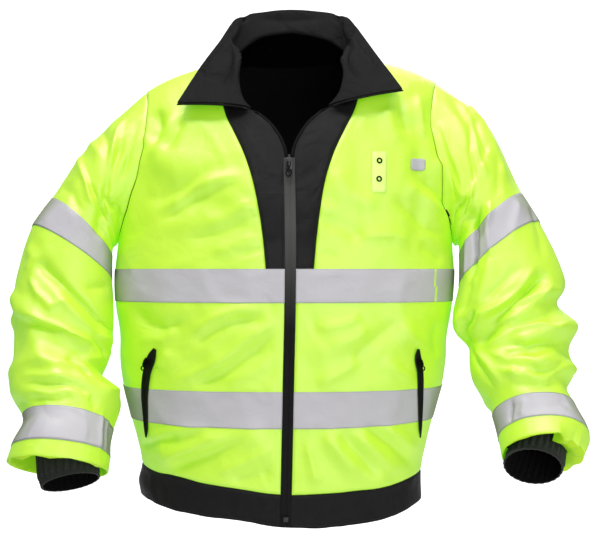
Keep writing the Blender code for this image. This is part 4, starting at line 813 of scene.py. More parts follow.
def stitchGroup():
    # a row of stitches at a distance from the seam: 1 on the thread
    settings = {"Seam": None, "Distance": 3.0, "Length": 3.2, "Gap": 0.3, "Thread": 0.45}
    group, given, result = newGroup("stitches", settings, ("Mask", "Pull"))
    split = addNode(group, "ShaderNodeSeparateXYZ", {0: given["Seam"]})
    away = calc(group, "ABSOLUTE", calc(group, "SUBTRACT", split.outputs[0], given["Distance"]))
    line = calc(group, "LESS_THAN", away, given["Thread"])
    beat = calc(group, "FRACT", calc(group, "DIVIDE", split.outputs[1], given["Length"]))
    sewn = calc(group, "GREATER_THAN", beat, given["Gap"])
    group.links.new(calc(group, "MULTIPLY", line, sewn), result["Mask"])
    group.links.new(spread(group, away, 0.0, 1.6, 1.0, 0.0), result["Pull"])
    return group


def crinkleGroup():
    # soft small wrinkles and the marks of handling
    settings = {"Place": None, "Scale": 30.0, "Soft": 0.02}
    group, given, result = newGroup("crinkle", settings, ("Height", "Mottle"))
    noise = addNode(group, "ShaderNodeTexNoise", {
        "Vector": given["Place"], "Scale": given["Scale"], "Detail": 3.0, "Roughness": 0.5,
        "Distortion": 0.8})
    away = calc(group, "SUBTRACT", noise.outputs[0], 0.5)
    soft = calc(group, "POWER", given["Soft"], 2.0)
    ridge = calc(group, "SQRT", calc(group, "MULTIPLY_ADD", away, away, soft))
    group.links.new(calc(group, "MULTIPLY", ridge, -2.0), result["Height"])
    mottle = addNode(group, "ShaderNodeTexNoise", {"Vector": given["Place"], "Scale": 7.0, "Detail": 2.0})
    group.links.new(mottle.outputs[0], result["Mottle"])
    return group


threads, stitches, crinkle = weaveGroup(), stitchGroup(), crinkleGroup()


def newFinish(name, color, roughness, metallic=0.0, **constants):
    material = bpy.data.materials.new(name)
    material.use_nodes = True
    shader = material.node_tree.nodes["Principled BSDF"]
    shader.inputs["Base Color"].default_value = (*color, 1.0)
    shader.inputs["Roughness"].default_value = roughness
    shader.inputs["Metallic"].default_value = metallic
    for key, value in constants.items():
        shader.inputs[key.replace("_", " ")].default_value = value
    return material, material.node_tree, shader


def addSurface(tree, shader, color, rough, height, strength, depth):
    # colour, roughness and bump
    bump = addNode(tree, "ShaderNodeBump", {"Height": height, "Distance": depth, "Strength": strength})
    for value, label in ((color, "Base Color"), (rough, "Roughness"), (bump.outputs[0], "Normal")):
        tree.links.new(value, shader.inputs[label])


def clothFinish(name, look):
    # woven cloth: two tones, threads, small wrinkles, and a row of stitches by the seams, which on the welt
    # is a painted highlight along its rim
    material, tree, shader = newFinish(name, look["tone"], look["roughness"], **look.get("constants", {}))
    cloth = addNode(tree, "ShaderNodeUVMap", uv_map="cloth").outputs[0]
    place = addNode(tree, "ShaderNodeTexCoord").outputs["Object"]
    weave = addNode(tree, "ShaderNodeGroup", {"Cloth": cloth, "Pitch": look["pitch"]}, node_tree=threads)
    crease = addNode(tree, "ShaderNodeGroup", {"Place": place, "Scale": look["crinkleScale"],
                                               "Soft": look.get("soft", 0.02)}, node_tree=crinkle)
    mottle = crease.outputs["Mottle"]
    color = between(tree, mottle, look["tone"], look["secondTone"])
    if look.get("darkBelow"):
        # painted shade: darker towards the neck seam, in the collar's hollow
        split = addNode(tree, "ShaderNodeSeparateXYZ", {0: cloth})
        low, high, bow = look["darkBelow"]
        away = calc(tree, "DIVIDE", calc(tree, "ABSOLUTE", split.outputs[0]), 100.0)
        up = calc(tree, "MULTIPLY_ADD", calc(tree, "POWER", away, 2.0), bow, split.outputs[1])
        color = shaded(tree, color, spread(tree, up, low, high, 0.03, 1.0))
    if look.get("paleAbove"):
        # painted highlight: paler towards the top, less so near its end
        low, high, gain = look["paleAbove"]
        up = addNode(tree, "ShaderNodeSeparateXYZ", {0: place}).outputs[2]
        highlightFade = spread(tree, up, high + 0.01, high + 0.10, 1.0, 0.65)
        color = shaded(tree, color, calc(tree, "MULTIPLY", spread(tree, up, low, high, 1.0, gain), highlightFade))
    height = calc(tree, "MULTIPLY", weave.outputs[0], look["weaveHeight"])
    height = calc(tree, "MULTIPLY_ADD", crease.outputs["Height"], look["crinkleHeight"], height)
    if look.get("stitch"):
        seam = addNode(tree, "ShaderNodeUVMap", uv_map="seam").outputs[0]
        places = {"Seam": seam, "Distance": look["stitch"]}
        sewn = addNode(tree, "ShaderNodeGroup", places, node_tree=stitches).outputs
        color = between(tree, sewn["Mask"], color, look["thread"])
        height = calc(tree, "MULTIPLY_ADD", sewn["Mask"], 0.25, height)
        height = calc(tree, "MULTIPLY_ADD", sewn["Pull"], -0.3, height)
    if look.get("turned"):
        # painted shade and painted green reflection: the tape turns darker and greener where it faces away
        facing = addNode(tree, "ShaderNodeLayerWeight", {"Blend": 0.5}).outputs["Facing"]
        color = between(tree, spread(tree, facing, 0.38, 0.8, 0.0, 0.85), color, look["turned"])
    rough = spread(tree, mottle, 0.3, 0.7, look["roughness"] - 0.05, look["roughness"] + 0.07)
    addSurface(tree, shader, color, rough, height, look["bump"], 0.001)
    if look.get("glow"):
        # painted glow: an emission keeps the shaded parts green while the lit parts turn yellow
        glow = between(tree, mottle, look["glow"], [0.94 * part for part in look["glow"]])
        tree.links.new(glow, shader.inputs["Emission Color"])
        shader.inputs["Emission Strength"].default_value = 1.0
    return material


def grey(tone, cast=1.0):
    return tone, tone, tone * cast


# the cloth's glow colour is a painted glow: an emission that keeps its shade green
hiVisLook = dict(
    tone=(0.46, 0.47, 0.030), secondTone=(0.41, 0.455, 0.016), roughness=0.44, pitch=0.7, weaveHeight=0.10,
    crinkleScale=26.0, crinkleHeight=1.1, bump=0.8, glow=(0.075, 0.40, 0.002),
    constants={"Specular_IOR_Level": 0.9, "Coat_Weight": 0.5, "Coat_Roughness": 0.42})
knitLook = dict(roughness=0.8, pitch=1.1, weaveHeight=0.4, crinkleScale=40.0, crinkleHeight=0.4, bump=0.8)
zipLook = dict(pitch=0.9, weaveHeight=0.25, crinkleScale=30.0, crinkleHeight=0.3, bump=0.5)
looks = {
    "hiVis": dict(hiVisLook, stitch=2.6, thread=(0.40, 0.46, 0.06)),
    "hiVisPlain": hiVisLook,
    # a darker copy of the cloth with less glow: painted shade for the turned-in sleeve ends
    "hiVisTurned": dict(hiVisLook, tone=(0.40, 0.44, 0.014), secondTone=(0.34, 0.42, 0.008),
                        glow=(0.045, 0.27, 0.001), constants={"Specular_IOR_Level": 0.25}),
    "tab": dict(hiVisLook, tone=(0.58, 0.53, 0.17), secondTone=(0.54, 0.52, 0.13), stitch=2.2,
                thread=(0.45, 0.48, 0.12)),
    "softshell": dict(
        tone=(0.0045, 0.0044, 0.0046), secondTone=(0.009, 0.0088, 0.0092), roughness=0.33, pitch=0.8,
        weaveHeight=0.16, crinkleScale=13.0, crinkleHeight=6.0, soft=0.12, bump=1.0, stitch=3.0,
        thread=(0.014, 0.014, 0.0145), constants={"Specular_IOR_Level": 0.11}),
    # the collar's inside carries painted shade towards the neck seam
    "collarInside": dict(
        tone=(0.0128, 0.0127, 0.0130), secondTone=(0.0182, 0.0180, 0.0185), roughness=0.6, pitch=0.8,
        weaveHeight=0.16, crinkleScale=17.0, crinkleHeight=10.0, soft=0.07, bump=1.0,
        darkBelow=(60.0, 69.0, 46.0), constants={"Specular_IOR_Level": 0.0}),
    "lining": dict(
        tone=grey(0.003), secondTone=grey(0.005), roughness=0.85, pitch=1.4, weaveHeight=0.3,
        crinkleScale=14.0, crinkleHeight=0.8, bump=0.5, constants={"Specular_IOR_Level": 0.04}),
    # the tape darkens and greens where it turns away: painted shade and painted reflection
    "tape": dict(
        tone=(0.455, 0.442, 0.467), secondTone=(0.40, 0.392, 0.413), roughness=0.6, pitch=0.45,
        weaveHeight=0.05, crinkleScale=34.0, crinkleHeight=0.8, bump=0.7, stitch=1.0,
        thread=(0.27, 0.27, 0.28), turned=(0.22, 0.27, 0.15),
        constants={"Metallic": 0.05, "Specular_IOR_Level": 0.2}),
    "knitInside": dict(knitLook, tone=grey(0.003), secondTone=grey(0.007),
                       constants={"Specular_IOR_Level": 0.08}),
    "knit": dict(knitLook, tone=(0.018, 0.020, 0.017), secondTone=(0.036, 0.039, 0.034), constants={
        "Sheen_Weight": 0.08, "Sheen_Roughness": 0.5, "Specular_IOR_Level": 0.12}),
    "coil": dict(zipLook, tone=grey(0.010), secondTone=grey(0.018), roughness=0.4, bump=0.6,
                 constants={"Specular_IOR_Level": 0.3}),
    # the zip strip carries a painted highlight towards its top
    "strip": dict(zipLook, tone=(0.0022, 0.0022, 0.0021), secondTone=(0.004, 0.004, 0.0038), roughness=0.38,
                  crinkleScale=16.0, crinkleHeight=0.8, bump=0.6, paleAbove=(-0.42, -0.27, 20.0),
                  constants={"Specular_IOR_Level": 0.10}),
    "zipTape": dict(zipLook, tone=grey(0.003), secondTone=grey(0.006), roughness=0.6,
                    constants={"Specular_IOR_Level": 0.05}),
    # its row of stitches is a light line along the lip's rim: a painted highlight
    "welt": dict(zipLook, tone=(0.0025, 0.003, 0.002), secondTone=(0.005, 0.006, 0.004), roughness=0.5,
                 weaveHeight=0.2, stitch=0.5, thread=(0.05, 0.075, 0.02),
                 constants={"Specular_IOR_Level": 0.09}),
    "label": dict(
        tone=(0.44, 0.44, 0.46), secondTone=(0.36, 0.36, 0.38), roughness=0.5, pitch=0.4, weaveHeight=0.1,
        crinkleScale=40.0, crinkleHeight=0.5, bump=0.6, stitch=1.0, thread=(0.30, 0.30, 0.31))}
finish = {name: clothFinish(name, look) for name, look in looks.items()}


def metalFinish(name, tone):
    material, tree, shader = newFinish(name, (0.03, 0.03, 0.032), 0.34, 1.0)
    place = addNode(tree, "ShaderNodeTexCoord").outputs["Object"]
    crease = addNode(tree, "ShaderNodeGroup", {"Place": place, "Scale": 900.0}, node_tree=crinkle)
    height = crease.outputs["Height"]
    rubbed = tuple(1.5 * part for part in grey(tone, 1.55 / 1.5))
    addSurface(tree, shader, between(tree, height, grey(tone, 1.03), rubbed),
               spread(tree, crease.outputs["Mottle"], 0.3, 0.7, 0.36, 0.5), height, 0.3, 0.0001)
    return material


finish["metal"] = metalFinish("darkMetal", 0.011)
finish["sliderMetal"] = metalFinish("rubbedMetal", 0.055)
print("finishes made")


def dress(obj, node):
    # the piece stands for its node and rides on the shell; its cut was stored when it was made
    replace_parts(obj, node)
    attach(obj, "shell")


panel = {"step": 4.0, "columns": (14, 66), "backColumns": (26, 56), "rows": 66, "dip": 1.5}


def yokeLevels(low):
    # levels from a height to the armpit, then shares of the way over the shoulder
    return np.concatenate((levelsOf(low, cut["armpit"], panel["step"])[:-4], fineShares(panel["rows"])))


bandLevels = levelsOf(cut["hemBottom"], cut["hemTop"], panel["step"])
fronts = {
    "frontLower": {"node": "front_lower", "kind": "lower", "dips": ("low", "first", "last"),
                   "levels": levelsOf(cut["hemTop"], cut["yokeSeam"], panel["step"])},
    "frontUpper": {"node": "front_upper", "kind": "upper", "dips": ("first", "last"),
                   "levels": yokeLevels(cut["yokeSeam"])},
    "insert": {"node": "insert", "kind": "insert", "dips": ("last",), "levels": yokeLevels(cut["yokeSeam"]),
               "look": "softshell"},
    "hem": {"node": "hem", "kind": "lower", "dips": ("high", "last"), "levels": bandLevels,
            "look": "softshell", "wall": "band"}}
backs = {
    "backPanel": {"node": "back", "dips": ("low", "high", "first", "last"), "rim": 1,
                  "levels": yokeLevels(cut["hemTop"])},
    "hemBack": {"node": "hem_back", "dips": ("high", "first", "last"), "levels": bandLevels,
                "look": "softshell", "wall": "band"}}


def sewPanel(name, node, piece, grid):
    points, normals = grid
    look, wall = piece.get("look", "hiVis"), piece.get("wall", "cloth")
    if wall == "band":
        points = wavedHem(points, piece["levels"])
    points = seamDip(points, normals, panel["dip"], piece["dips"])
    outsideIn = (finish[look], finish["lining"])
    obj = clothObject(name, points, normals, cut[wall], outsideIn, rim=piece.get("rim", 0))
    dress(obj, node)


for side, word in sideNames.items():
    for name, piece in fronts.items():
        grid = frontGrid(side, piece["kind"], piece["levels"], panel["columns"])
        sewPanel(name + word.title(), piece["node"] + "_" + word, piece, grid)
for name, piece in backs.items():
    sewPanel(name, piece["node"], piece, backGrid(piece["levels"], panel["backColumns"]))
print("body panels sewn")

tape = {"step": 3.0, "inset": 0.4, "lift": cut["tapeLift"] + cut["tape"], "rows": 18,
        "joinX": 0.2285, "joinHalf": 0.0014}
for name in ("chest", "waist"):
    levels = levelsOf(*cut[name + "Tape"], tape["step"])
    for side, word in sideNames.items():
        points, normals = frontGrid(side, "lower", levels, panel["columns"], tape["lift"], tape["inset"])
        obj = clothObject(name + "Tape" + word.title(), points, normals, cut["tape"], (finish["tape"],))
        if name == "chest" and side > 0:
            # cloth shows where the tape's two lengths meet
            obj.data.materials.append(finish["hiVisPlain"])
            for face in obj.data.polygons:
                if abs(face.center.x - tape["joinX"]) < tape["joinHalf"]:
                    face.material_index = 1
        dress(obj, "tape_%s_%s" % (name, word))
    points, normals = backGrid(levels, panel["backColumns"], tape["lift"])
    obj = clothObject(name + "TapeBack", points, normals, cut["tape"], (finish["tape"],))
    dress(obj, "tape_%s_back" % name)
print("body tapes sewn")

sleeve = {"step": 3.4, "round": 200, "turnRows": 24,
          "tapes": {-1: {"arm": (222.0, 273.0), "wrist": (560.0, 611.0)},
                    1: {"arm": (222.0, 273.0), "wrist": (539.0, 590.0)}}}
# the turned-in end: way along the turn, then its size and reach, hanging open or tucked to the cuff
hemTurn = asTable("way openSize openPast tuckSize tuckPast", (
    (0.0, 1.0, 0.0, 1.0, 0.0), (0.1, 0.985, 1.4, 0.98, 1.6), (0.28, 0.955, 0.0, 0.95, 2.4),
    (0.6, 0.925, -13.0, 0.88, 1.5), (1.0, 0.90, -30.0, 0.79, -6.0)))
# its folds: angle, half width in degrees, height, and where along the turn it starts
endFolds = {
    -1: ((20, 8, 5.0, 0.0), (35, 4, -3.6, 0.0), (54, 10, 6.0, 0.0), (71, 6, -2.4, 0.0), (90, 9, 2.6, 0.0),
         (112, 8, -2.0, 0.0), (150, 8, 3.0, 0.1), (200, 9, -2.4, 0.2), (238, 7, 2.6, 0.2),
         (262, 8, -2.6, 0.2), (300, 9, 3.0, 0.2), (322, 6, -3.0, 0.2), (345, 7, 2.0, 0.2)),
    1: ((87, 4, -2.2, 0.0), (73, 10, 4.6, 0.03), (57, 4, -2.4, 0.05), (44, 8, 4.4, 0.06), (31, 4, -2.4, 0.08),
        (16, 10, 4.8, 0.1), (3, 4, -2.2, 0.12), (-12, 11, 4.4, 0.15), (-30, 4, -2.2, 0.2),
        (-47, 10, 3.0, 0.2), (130, 10, 1.6, 0.0), (165, 8, -1.8, 0.0), (205, 10, 2.2, 0.2),
        (240, 8, -2.4, 0.2))}
endFold = {"sharp": 1.3, "run": 0.14, "start": 0.05, "ahead": 0.8, "inward": 0.5}
# the tucked part: the angles it takes, how far above the end it begins, and how much of the folds it keeps
tuck = {"middle": {-1: None, 1: 8.0}, "half": 62.0, "soft": 16.0, "reach": 15.0, "lean": 0.2, "fullSize": 0.8,
        "cuffPlace": 18.0, "wallFolds": 0.9, "wallAhead": 0.6, "endFolds": 0.6}


def angleApart(angles, angle):
    # how far each angle is from one, either way round
    return np.abs((angles - angle + 180.0) % 360.0 - 180.0)


def tuckShare(side, angles):
    if tuck["middle"][side] is None:
        return np.zeros(len(angles))
    return 1.0 - ramp((angleApart(angles, tuck["middle"][side]) - tuck["half"]) / tuck["soft"])


def endHeight(side, angles, way):
    height = np.zeros(len(angles))
    for angle, width, size, begin in endFolds[side]:
        shape = np.exp(-((angleApart(angles, angle) / width) ** endFold["sharp"]))
        height += size * shape * ramp((way - begin) / endFold["run"] + endFold["start"])
    return height


def endHeading(side):
    end = sleeves[side]["along"][-1]
    return unit(tubeMiddle(sleeves[side], end) - tubeMiddle(sleeves[side], end - 30.0))


def tuckedWall(side, points, alongs, angles):
    # the wall above the tucked part leans inwards from a crease, and the folds start there
    share, heading = tuckShare(side, angles), endHeading(side)
    for row, along in enumerate(alongs):
        amount = min(max((along - alongs[-1] + tuck["reach"]) / tuck["reach"], 0.0), 1.0)
        if amount > 0.0:
            inward = tubeMiddle(sleeves[side], along) - points[row]
            lean = inward * (tuck["lean"] * amount * share)[:, None]
            folds = (tuck["wallFolds"] * amount * share * endHeight(side, angles, 1.0))[:, None]
            points[row] += (lean + heading * (tuck["wallAhead"] * folds)
                            - unit(inward) * (endFold["inward"] * folds))
    return points


def turnedEnd(side, hem, angles):
    middle, heading, share = hem.mean(axis=0), endHeading(side), tuckShare(side, angles)
    end = tubeMiddle(sleeves[side], sleeves[side]["along"][-1])
    sideways = tubeMiddle(cuffs[side], tuck["cuffPlace"]) - end
    sideways = sideways - np.dot(sideways, heading) * heading
    outward = unit(hem - middle)
    rows, slopes = [], []
    for way in np.linspace(0.03, 1.0, sleeve["turnRows"]):
        size, past = (readTable(hemTurn, "open" + word, way) * (1.0 - share)
                      + readTable(hemTurn, "tuck" + word, way) * share for word in ("Size", "Past"))
        height = (endHeight(side, angles, way) * (1.0 - share)
                  + endHeight(side, angles, 1.0) * share * tuck["endFolds"] * (1.0 - way))
        shift = sideways * (share * (1.0 - size) / (1.0 - tuck["fullSize"]))[:, None]
        rows.append(middle + shift + (hem - middle) * size[:, None]
                    + heading * (past + endFold["ahead"] * height)[:, None]
                    - outward * (endFold["inward"] * height * (1.0 - way))[:, None])
        slopes.append(unit(outward * (1.0 - way) + heading * (0.4 + 0.6 * way)))
    return np.array(rows), np.array(slopes)


angles = np.arange(sleeve["round"]) * 360.0 / sleeve["round"]
for side, word in sideNames.items():
    end = sleeves[side]["along"][-1]
    alongs = np.array(sorted({*np.linspace(0.0, end, int(end / sleeve["step"]) + 1), 1.2, 2.4}))
    points, normals = sleeveSkin(side, alongs[:, None], angles[None, :])
    points = seamDip(points, normals, panel["dip"], ("low",), closed=True)
    points = tuckedWall(side, points, alongs, angles)
    rows, slopes = turnedEnd(side, points[-1], angles)
    points, normals = np.concatenate((points, rows)), np.concatenate((normals, slopes))
    obj = clothObject("sleeve" + word.title(), points, normals, cut["cloth"],
                      (finish["hiVisPlain"], finish["lining"]), closed=True)
    # painted shade: the turned-in part, which lies in shade, gets a darker copy of the cloth
    obj.data.materials.append(finish["hiVisTurned"])
    for face in obj.data.polygons[len(alongs) * sleeve["round"]:(len(points) - 1) * sleeve["round"]]:
        face.material_index = 2
    dress(obj, "sleeve_" + word)
    for name, ends in sleeve["tapes"][side].items():
        places = np.linspace(*ends, tape["rows"])
        points, normals = sleeveSkin(side, places[:, None], angles[None, :], tape["lift"])
        obj = clothObject(name + "Tape" + word.title(), points, normals, cut["tape"], (finish["tape"],), True)
        dress(obj, "tape_%s_%s" % (name, word))
print("sleeves sewn")

cuff = {
    "rows": 34, "round": 384, "length": 50.0, "gathers": 26, "depth": 1.7, "ribs": 96, "ribDepth": 0.6,
    "edgeStart": 36.0, "edgeRun": 8.0, "edgeGathers": 0.25, "edgeSeam": 40.0, "seamDepth": 0.7,
    "seamWidth": 1.6}
for side, word in sideNames.items():
    alongs = np.linspace(0.0, cuff["length"], cuff["rows"])[:, None]
    angles = (np.arange(cuff["round"]) * 360.0 / cuff["round"])[None, :]
    along, angle = np.broadcast_arrays(alongs, angles)
    point = ringPoint(cuffs[side], along, angle)
    outward = unit(point - tubeMiddle(cuffs[side], along))
    fade = 1.0 - (1.0 - cuff["edgeGathers"]) * ramp((along - cuff["edgeStart"]) / cuff["edgeRun"])
    drift = 26.0 * (cloud(angle * 0.9 + 400, along * 0.7 + 400, 30, 61) - 0.5)
    uneven = 0.5 + cloud(angle * 1.4 + 90, along * 0.3 + 90, 14, 62)
    wave = np.cos(np.radians(angle) * cuff["gathers"] + drift / 30.0) * cuff["depth"] * uneven
    rib = np.cos(np.radians(angle) * cuff["ribs"]) * cuff["ribDepth"]
    band = cuff["seamDepth"] * np.exp(-(((along - cuff["edgeSeam"]) / cuff["seamWidth"]) ** 2))
    points = point + outward * (wave * fade + rib - band)[..., None]
    obj = clothObject("stormCuff" + word.title(), points, outward, cut["knit"],
                      (finish["knit"], finish["knitInside"]), closed=True)
    dress(obj, "cuff_" + word)
print("storm cuffs gathered")

collar = {"columns": 190, "rows": 36, "tuckedIn": 0.035, "edgeRound": 0.8}
places, ups = np.meshgrid(np.linspace(-1.0, 1.0, collar["columns"]),
                          np.linspace(-collar["tuckedIn"], 1.0, collar["rows"]))
points, normals = collarSkin(places, ups)
obj = clothObject("collarLeaf", points, normals, cut["collar"], (finish["softshell"], finish["collarInside"]))
soft = obj.modifiers.new("soft", "BEVEL")
soft.width = collar["edgeRound"] * mm
soft.segments = 2
soft.limit_method = "ANGLE"
applyModifiers(obj)
dress(obj, "collar")
print("collar sewn")

zipper = {
    "top": 167.5, "columns": 15, "step": 2.5, "openRows": 60, "grooveDepth": 0.9, "groove": 0.07,
    "swell": 0.35, "tapeWidth": 3.7, "tapeThick": 1.0, "tapeColumns": 5, "coilPitch": 1.7, "coilRadius": 0.6,
    "coilHalf": 0.34, "coilSides": 6, "edgePoints": 40, "leafPoints": 50, "leafStart": 0.15}


def frontShare(x, z):
    rise = (z - cut["armpit"]) / (readTable(crest, "height", x) - cut["armpit"])
    return np.arcsin(np.clip(rise, 0.0, 1.0)) * 2.0 / math.pi


def zipChain():
    heights = np.arange(cut["hemBottom"], cut["armpit"], zipper["step"])
    top = float(frontShare(np.array(0.0), np.array(zipper["top"])))
    levels = np.concatenate((heights - cut["armpit"], np.linspace(0.0, top, zipper["openRows"])))
    across = np.linspace(-1.0, 1.0, zipper["columns"])
    x, level = np.broadcast_arrays(np.abs(across)[None, :] * (cut["zipHalf"] + 0.5), levels[:, None])
    points = np.where((across < 0.0)[None, :, None], bodyForm(-1, -1, x, level), bodyForm(1, -1, x, level))
    normals = unit(np.cross(points[:, -1:] - points[:, :1], np.gradient(points, axis=0)))
    profile = (zipper["swell"] * (1.0 - across**4)
               - zipper["grooveDepth"] * np.exp(-((across / zipper["groove"]) ** 2)))
    return points + normals * profile[None, :, None], normals


obj = clothObject("zipFront", *zipChain(), cut["zip"], (finish["strip"], finish["strip"]))
dress(obj, "zip_chain")


def openingEdge(side):
    # from the slider up to the collar's corner: points, ways out of the cloth, and ways ahead
    ahead = 0.002
    start = float(frontShare(np.array(0.0), np.array(zipper["top"] + 1.5)))
    shares = np.linspace(start, edges["share"][5] - 0.03, zipper["edgePoints"])
    x = readTable(edges, "opening", shares)
    here = bodyForm(side, -1, x, shares)
    away = unit(bodyForm(side, -1, np.maximum(x - 3.0, 0.5), shares) - here)
    nextStep = bodyForm(side, -1, readTable(edges, "opening", shares + ahead), shares + ahead) - here
    ups = np.linspace(zipper["leafStart"], 1.0, zipper["leafPoints"])
    place = np.full(len(ups), float(side))
    leaf = collarForm(place, ups)
    leafAway = unit(leaf - collarForm(place * 0.97, ups))
    leafNext = collarForm(place, ups + ahead) - leaf
    pairs = (here, leaf), (away, leafAway), (nextStep, leafNext)
    here, away, nextStep = (np.concatenate(pair) for pair in pairs)
    return here, away, unit(nextStep)


def coilAlong(name, path, across, normals, spacing):
    # small nylon loops along a line, each one a short six-sided bar
    lengths = np.concatenate(([0.0], np.cumsum(np.linalg.norm(np.diff(path, axis=0), axis=1))))
    at = np.linspace(0.0, lengths[-1], int(lengths[-1] / spacing))
    spots, out, up = (np.stack([np.interp(at, lengths, values[:, k]) for k in range(3)], axis=-1)
                      for values in (path, across, normals))
    out, up, along = unit(out), unit(up), unit(np.gradient(spots, axis=0))
    sides, radius = zipper["coilSides"], zipper["coilRadius"]
    turns = (np.arange(sides) * math.tau / sides)[None, :, None]
    ring = out[:, None] * np.cos(turns) * radius + up[:, None] * np.sin(turns) * radius * 0.8
    ends = [along * end * spacing * zipper["coilHalf"] for end in (-1.0, 1.0)]
    place = np.stack([spots[:, None] + ring + end[:, None] for end in ends], axis=1).reshape(-1, 3)
    place = place - (0.0, 0.0, originHeight)
    faces = []
    for base in range(0, len(place), 2 * sides):
        bottom = [base + k for k in range(sides)]
        top = [corner + sides for corner in bottom]
        for k in range(sides):
            n = (k + 1) % sides
            faces.append((bottom[k], bottom[n], top[n], top[k]))
        faces += [tuple(reversed(bottom)), tuple(top)]
    mesh = bpy.data.meshes.new(name)
    mesh.from_pydata((place * mm).tolist(), [], faces)
    for label in ("cloth", "seam"):
        layer = mesh.uv_layers.new(name=label)
        flat = np.array([place[loop.vertex_index][[0, 2]] for loop in mesh.loops], np.float32)
        layer.data.foreach_set("uv", flat.ravel())
    obj = bpy.data.objects.new(name, mesh)
    bpy.context.scene.collection.objects.link(obj)
    mesh.materials.append(finish["coil"])
    bpy.ops.object.select_all(action="DESELECT")
    obj.select_set(True)
    bpy.context.view_layer.objects.active = obj
    bpy.ops.object.mode_set(mode="EDIT")
    bpy.ops.mesh.select_all(action="SELECT")
    bpy.ops.mesh.normals_make_consistent(inside=False)      # faces of each loop point outwards
    bpy.ops.object.mode_set(mode="OBJECT")
    bpy.ops.object.select_all(action="DESELECT")
    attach(obj, "shell")


def spreadNormals(normal, points):
    return np.broadcast_to(normal[:, None], points.shape)


for side, word in sideNames.items():
    here, away, ahead = openingEdge(side)
    away = unit(away - np.sum(away * ahead, axis=1)[:, None] * ahead)
    normal = side * unit(np.cross(ahead, away))
    out = 4.0 * cut["seamGap"] + zipper["tapeWidth"] * np.linspace(0.0, 1.0, zipper["tapeColumns"])
    points = here[:, None] + away[:, None] * out[None, :, None]
    obj = clothObject("zipTape" + word.title(), points, spreadNormals(normal, points), zipper["tapeThick"],
                      (finish["zipTape"],))
    dress(obj, "zip_tape_" + word)
    path = here + away * (zipper["tapeWidth"] - 0.6) - normal * 0.5
    coilAlong("zipCoil" + word.title(), path, away, normal, zipper["coilPitch"])
print("zip sewn")

pocket = asTable("share rightX leftX z half", (
    (0.0, 194, 204, -122, 2.4), (0.06, 197.5, 204, -131, 5.2), (0.25, 206.4, 209, -157, 5.9),
    (0.5, 210.5, 211, -192, 5.4), (0.75, 209, 212, -228, 4.2), (0.94, 208, 212.5, -250, 3.0),
    (1.0, 208, 213, -258, 1.2)))
welt = {"lift": 3.9, "rows": 110, "columns": 25, "thick": 1.4, "wide": {-1: 1.4, 1: 1.1},
        "lipHeight": 0.9, "lipAt": 0.62, "lipWidth": 0.2, "slitDepth": 0.8, "slitWidth": 0.3, "edgeDrop": 2.2}


def frontAt(side, x, z):
    # a point of the front's cloth with its largest folds
    level = np.where(z < cut["armpit"], z - cut["armpit"], frontShare(x, z))
    y, _, height = bodyPlain(-1, x, level)
    total = foldSum(side * x, height, torsoFolds[-1]) * ramp(np.abs(y) / cut["creaseFade"])
    return bodyForm(side, -1, x, level) + bodyNormal(side, -1, x, level) * total[..., None]


for side, word in sideNames.items():
    share = np.linspace(0.0, 1.0, welt["rows"])
    x, z = readTable(pocket, word + "X", share), readTable(pocket, "z", share)
    here = frontAt(side, x, z)
    down = unit(np.gradient(here, axis=0))
    normal = -side * unit(np.cross(frontAt(side, x + 1.0, z) - here, down))
    across = unit(np.cross(down, normal))
    swell = np.sin(math.pi * np.clip(share, 0.02, 0.98)) ** 0.6
    half = readTable(pocket, "half", share) * welt["wide"][side]
    over = np.linspace(-1.0, 1.0, welt["columns"])
    lips = (welt["lipHeight"] * np.exp(-(((np.abs(over) - welt["lipAt"]) / welt["lipWidth"]) ** 2))
            - welt["slitDepth"] * np.exp(-((over / welt["slitWidth"]) ** 2))
            - welt["edgeDrop"] * np.abs(over) ** 8)
    points = (here[:, None] + across[:, None] * (half[:, None] * over[None, :])[..., None]
              + normal[:, None] * (welt["lift"] + lips[None, :] * swell[:, None])[..., None])
    obj = clothObject("pocketWelt" + word.title(), points, spreadNormals(normal, points), welt["thick"],
                      (finish["welt"], finish["coil"]))
    dress(obj, "pocket_%s_welt" % word)
print("pockets sewn")

patches = {
    "micTab": {"node": "mic_tab", "slot": "hi_vis_cloth", "finish": "tab", "x": 137.0, "top": 175.0,
               "width": 23.0, "length": 61.0, "thick": 1.2, "round": 0.04, "columns": 20, "rows": 40},
    "chestLabel": {"node": "chest_label", "slot": "silver_label", "finish": "label", "x": 200.0, "top": 166.0,
                   "width": 25.0, "length": 18.0, "thick": 0.8, "round": 0.13, "columns": 30, "rows": 24}}
patchLift, patchDip, patchEdge = 1.3, 0.7, 0.9
for name, patch in patches.items():
    a, d = np.meshgrid(np.linspace(-1.0, 1.0, patch["columns"]), np.linspace(0.0, 1.0, patch["rows"]))
    # rounded corners
    x = patch["x"] + a * patch["width"] / 2.0 * (1.0 - patch["round"] * np.abs(2.0 * d - 1.0) ** 9)
    z = patch["top"] - (0.5 + (d - 0.5) * (1.0 - patch["round"] * np.abs(a) ** 9)) * patch["length"]
    here = frontAt(1, x, z)
    normal = unit(np.cross(frontAt(1, x + 1.0, z) - here, frontAt(1, x, z + 1.0) - here))
    edge = np.minimum((1.0 - np.abs(a)) * patch["width"] / 2.0, np.minimum(d, 1.0 - d) * patch["length"])
    dip = patchDip * np.exp(-((edge / patchEdge) ** 2))
    points = here + normal * (patchLift + patch["thick"] - dip)[..., None]
    obj = clothObject(name, points, normal, patch["thick"], (finish[patch["finish"]],))
    dress(obj, patch["node"])
print("tab and label sewn")

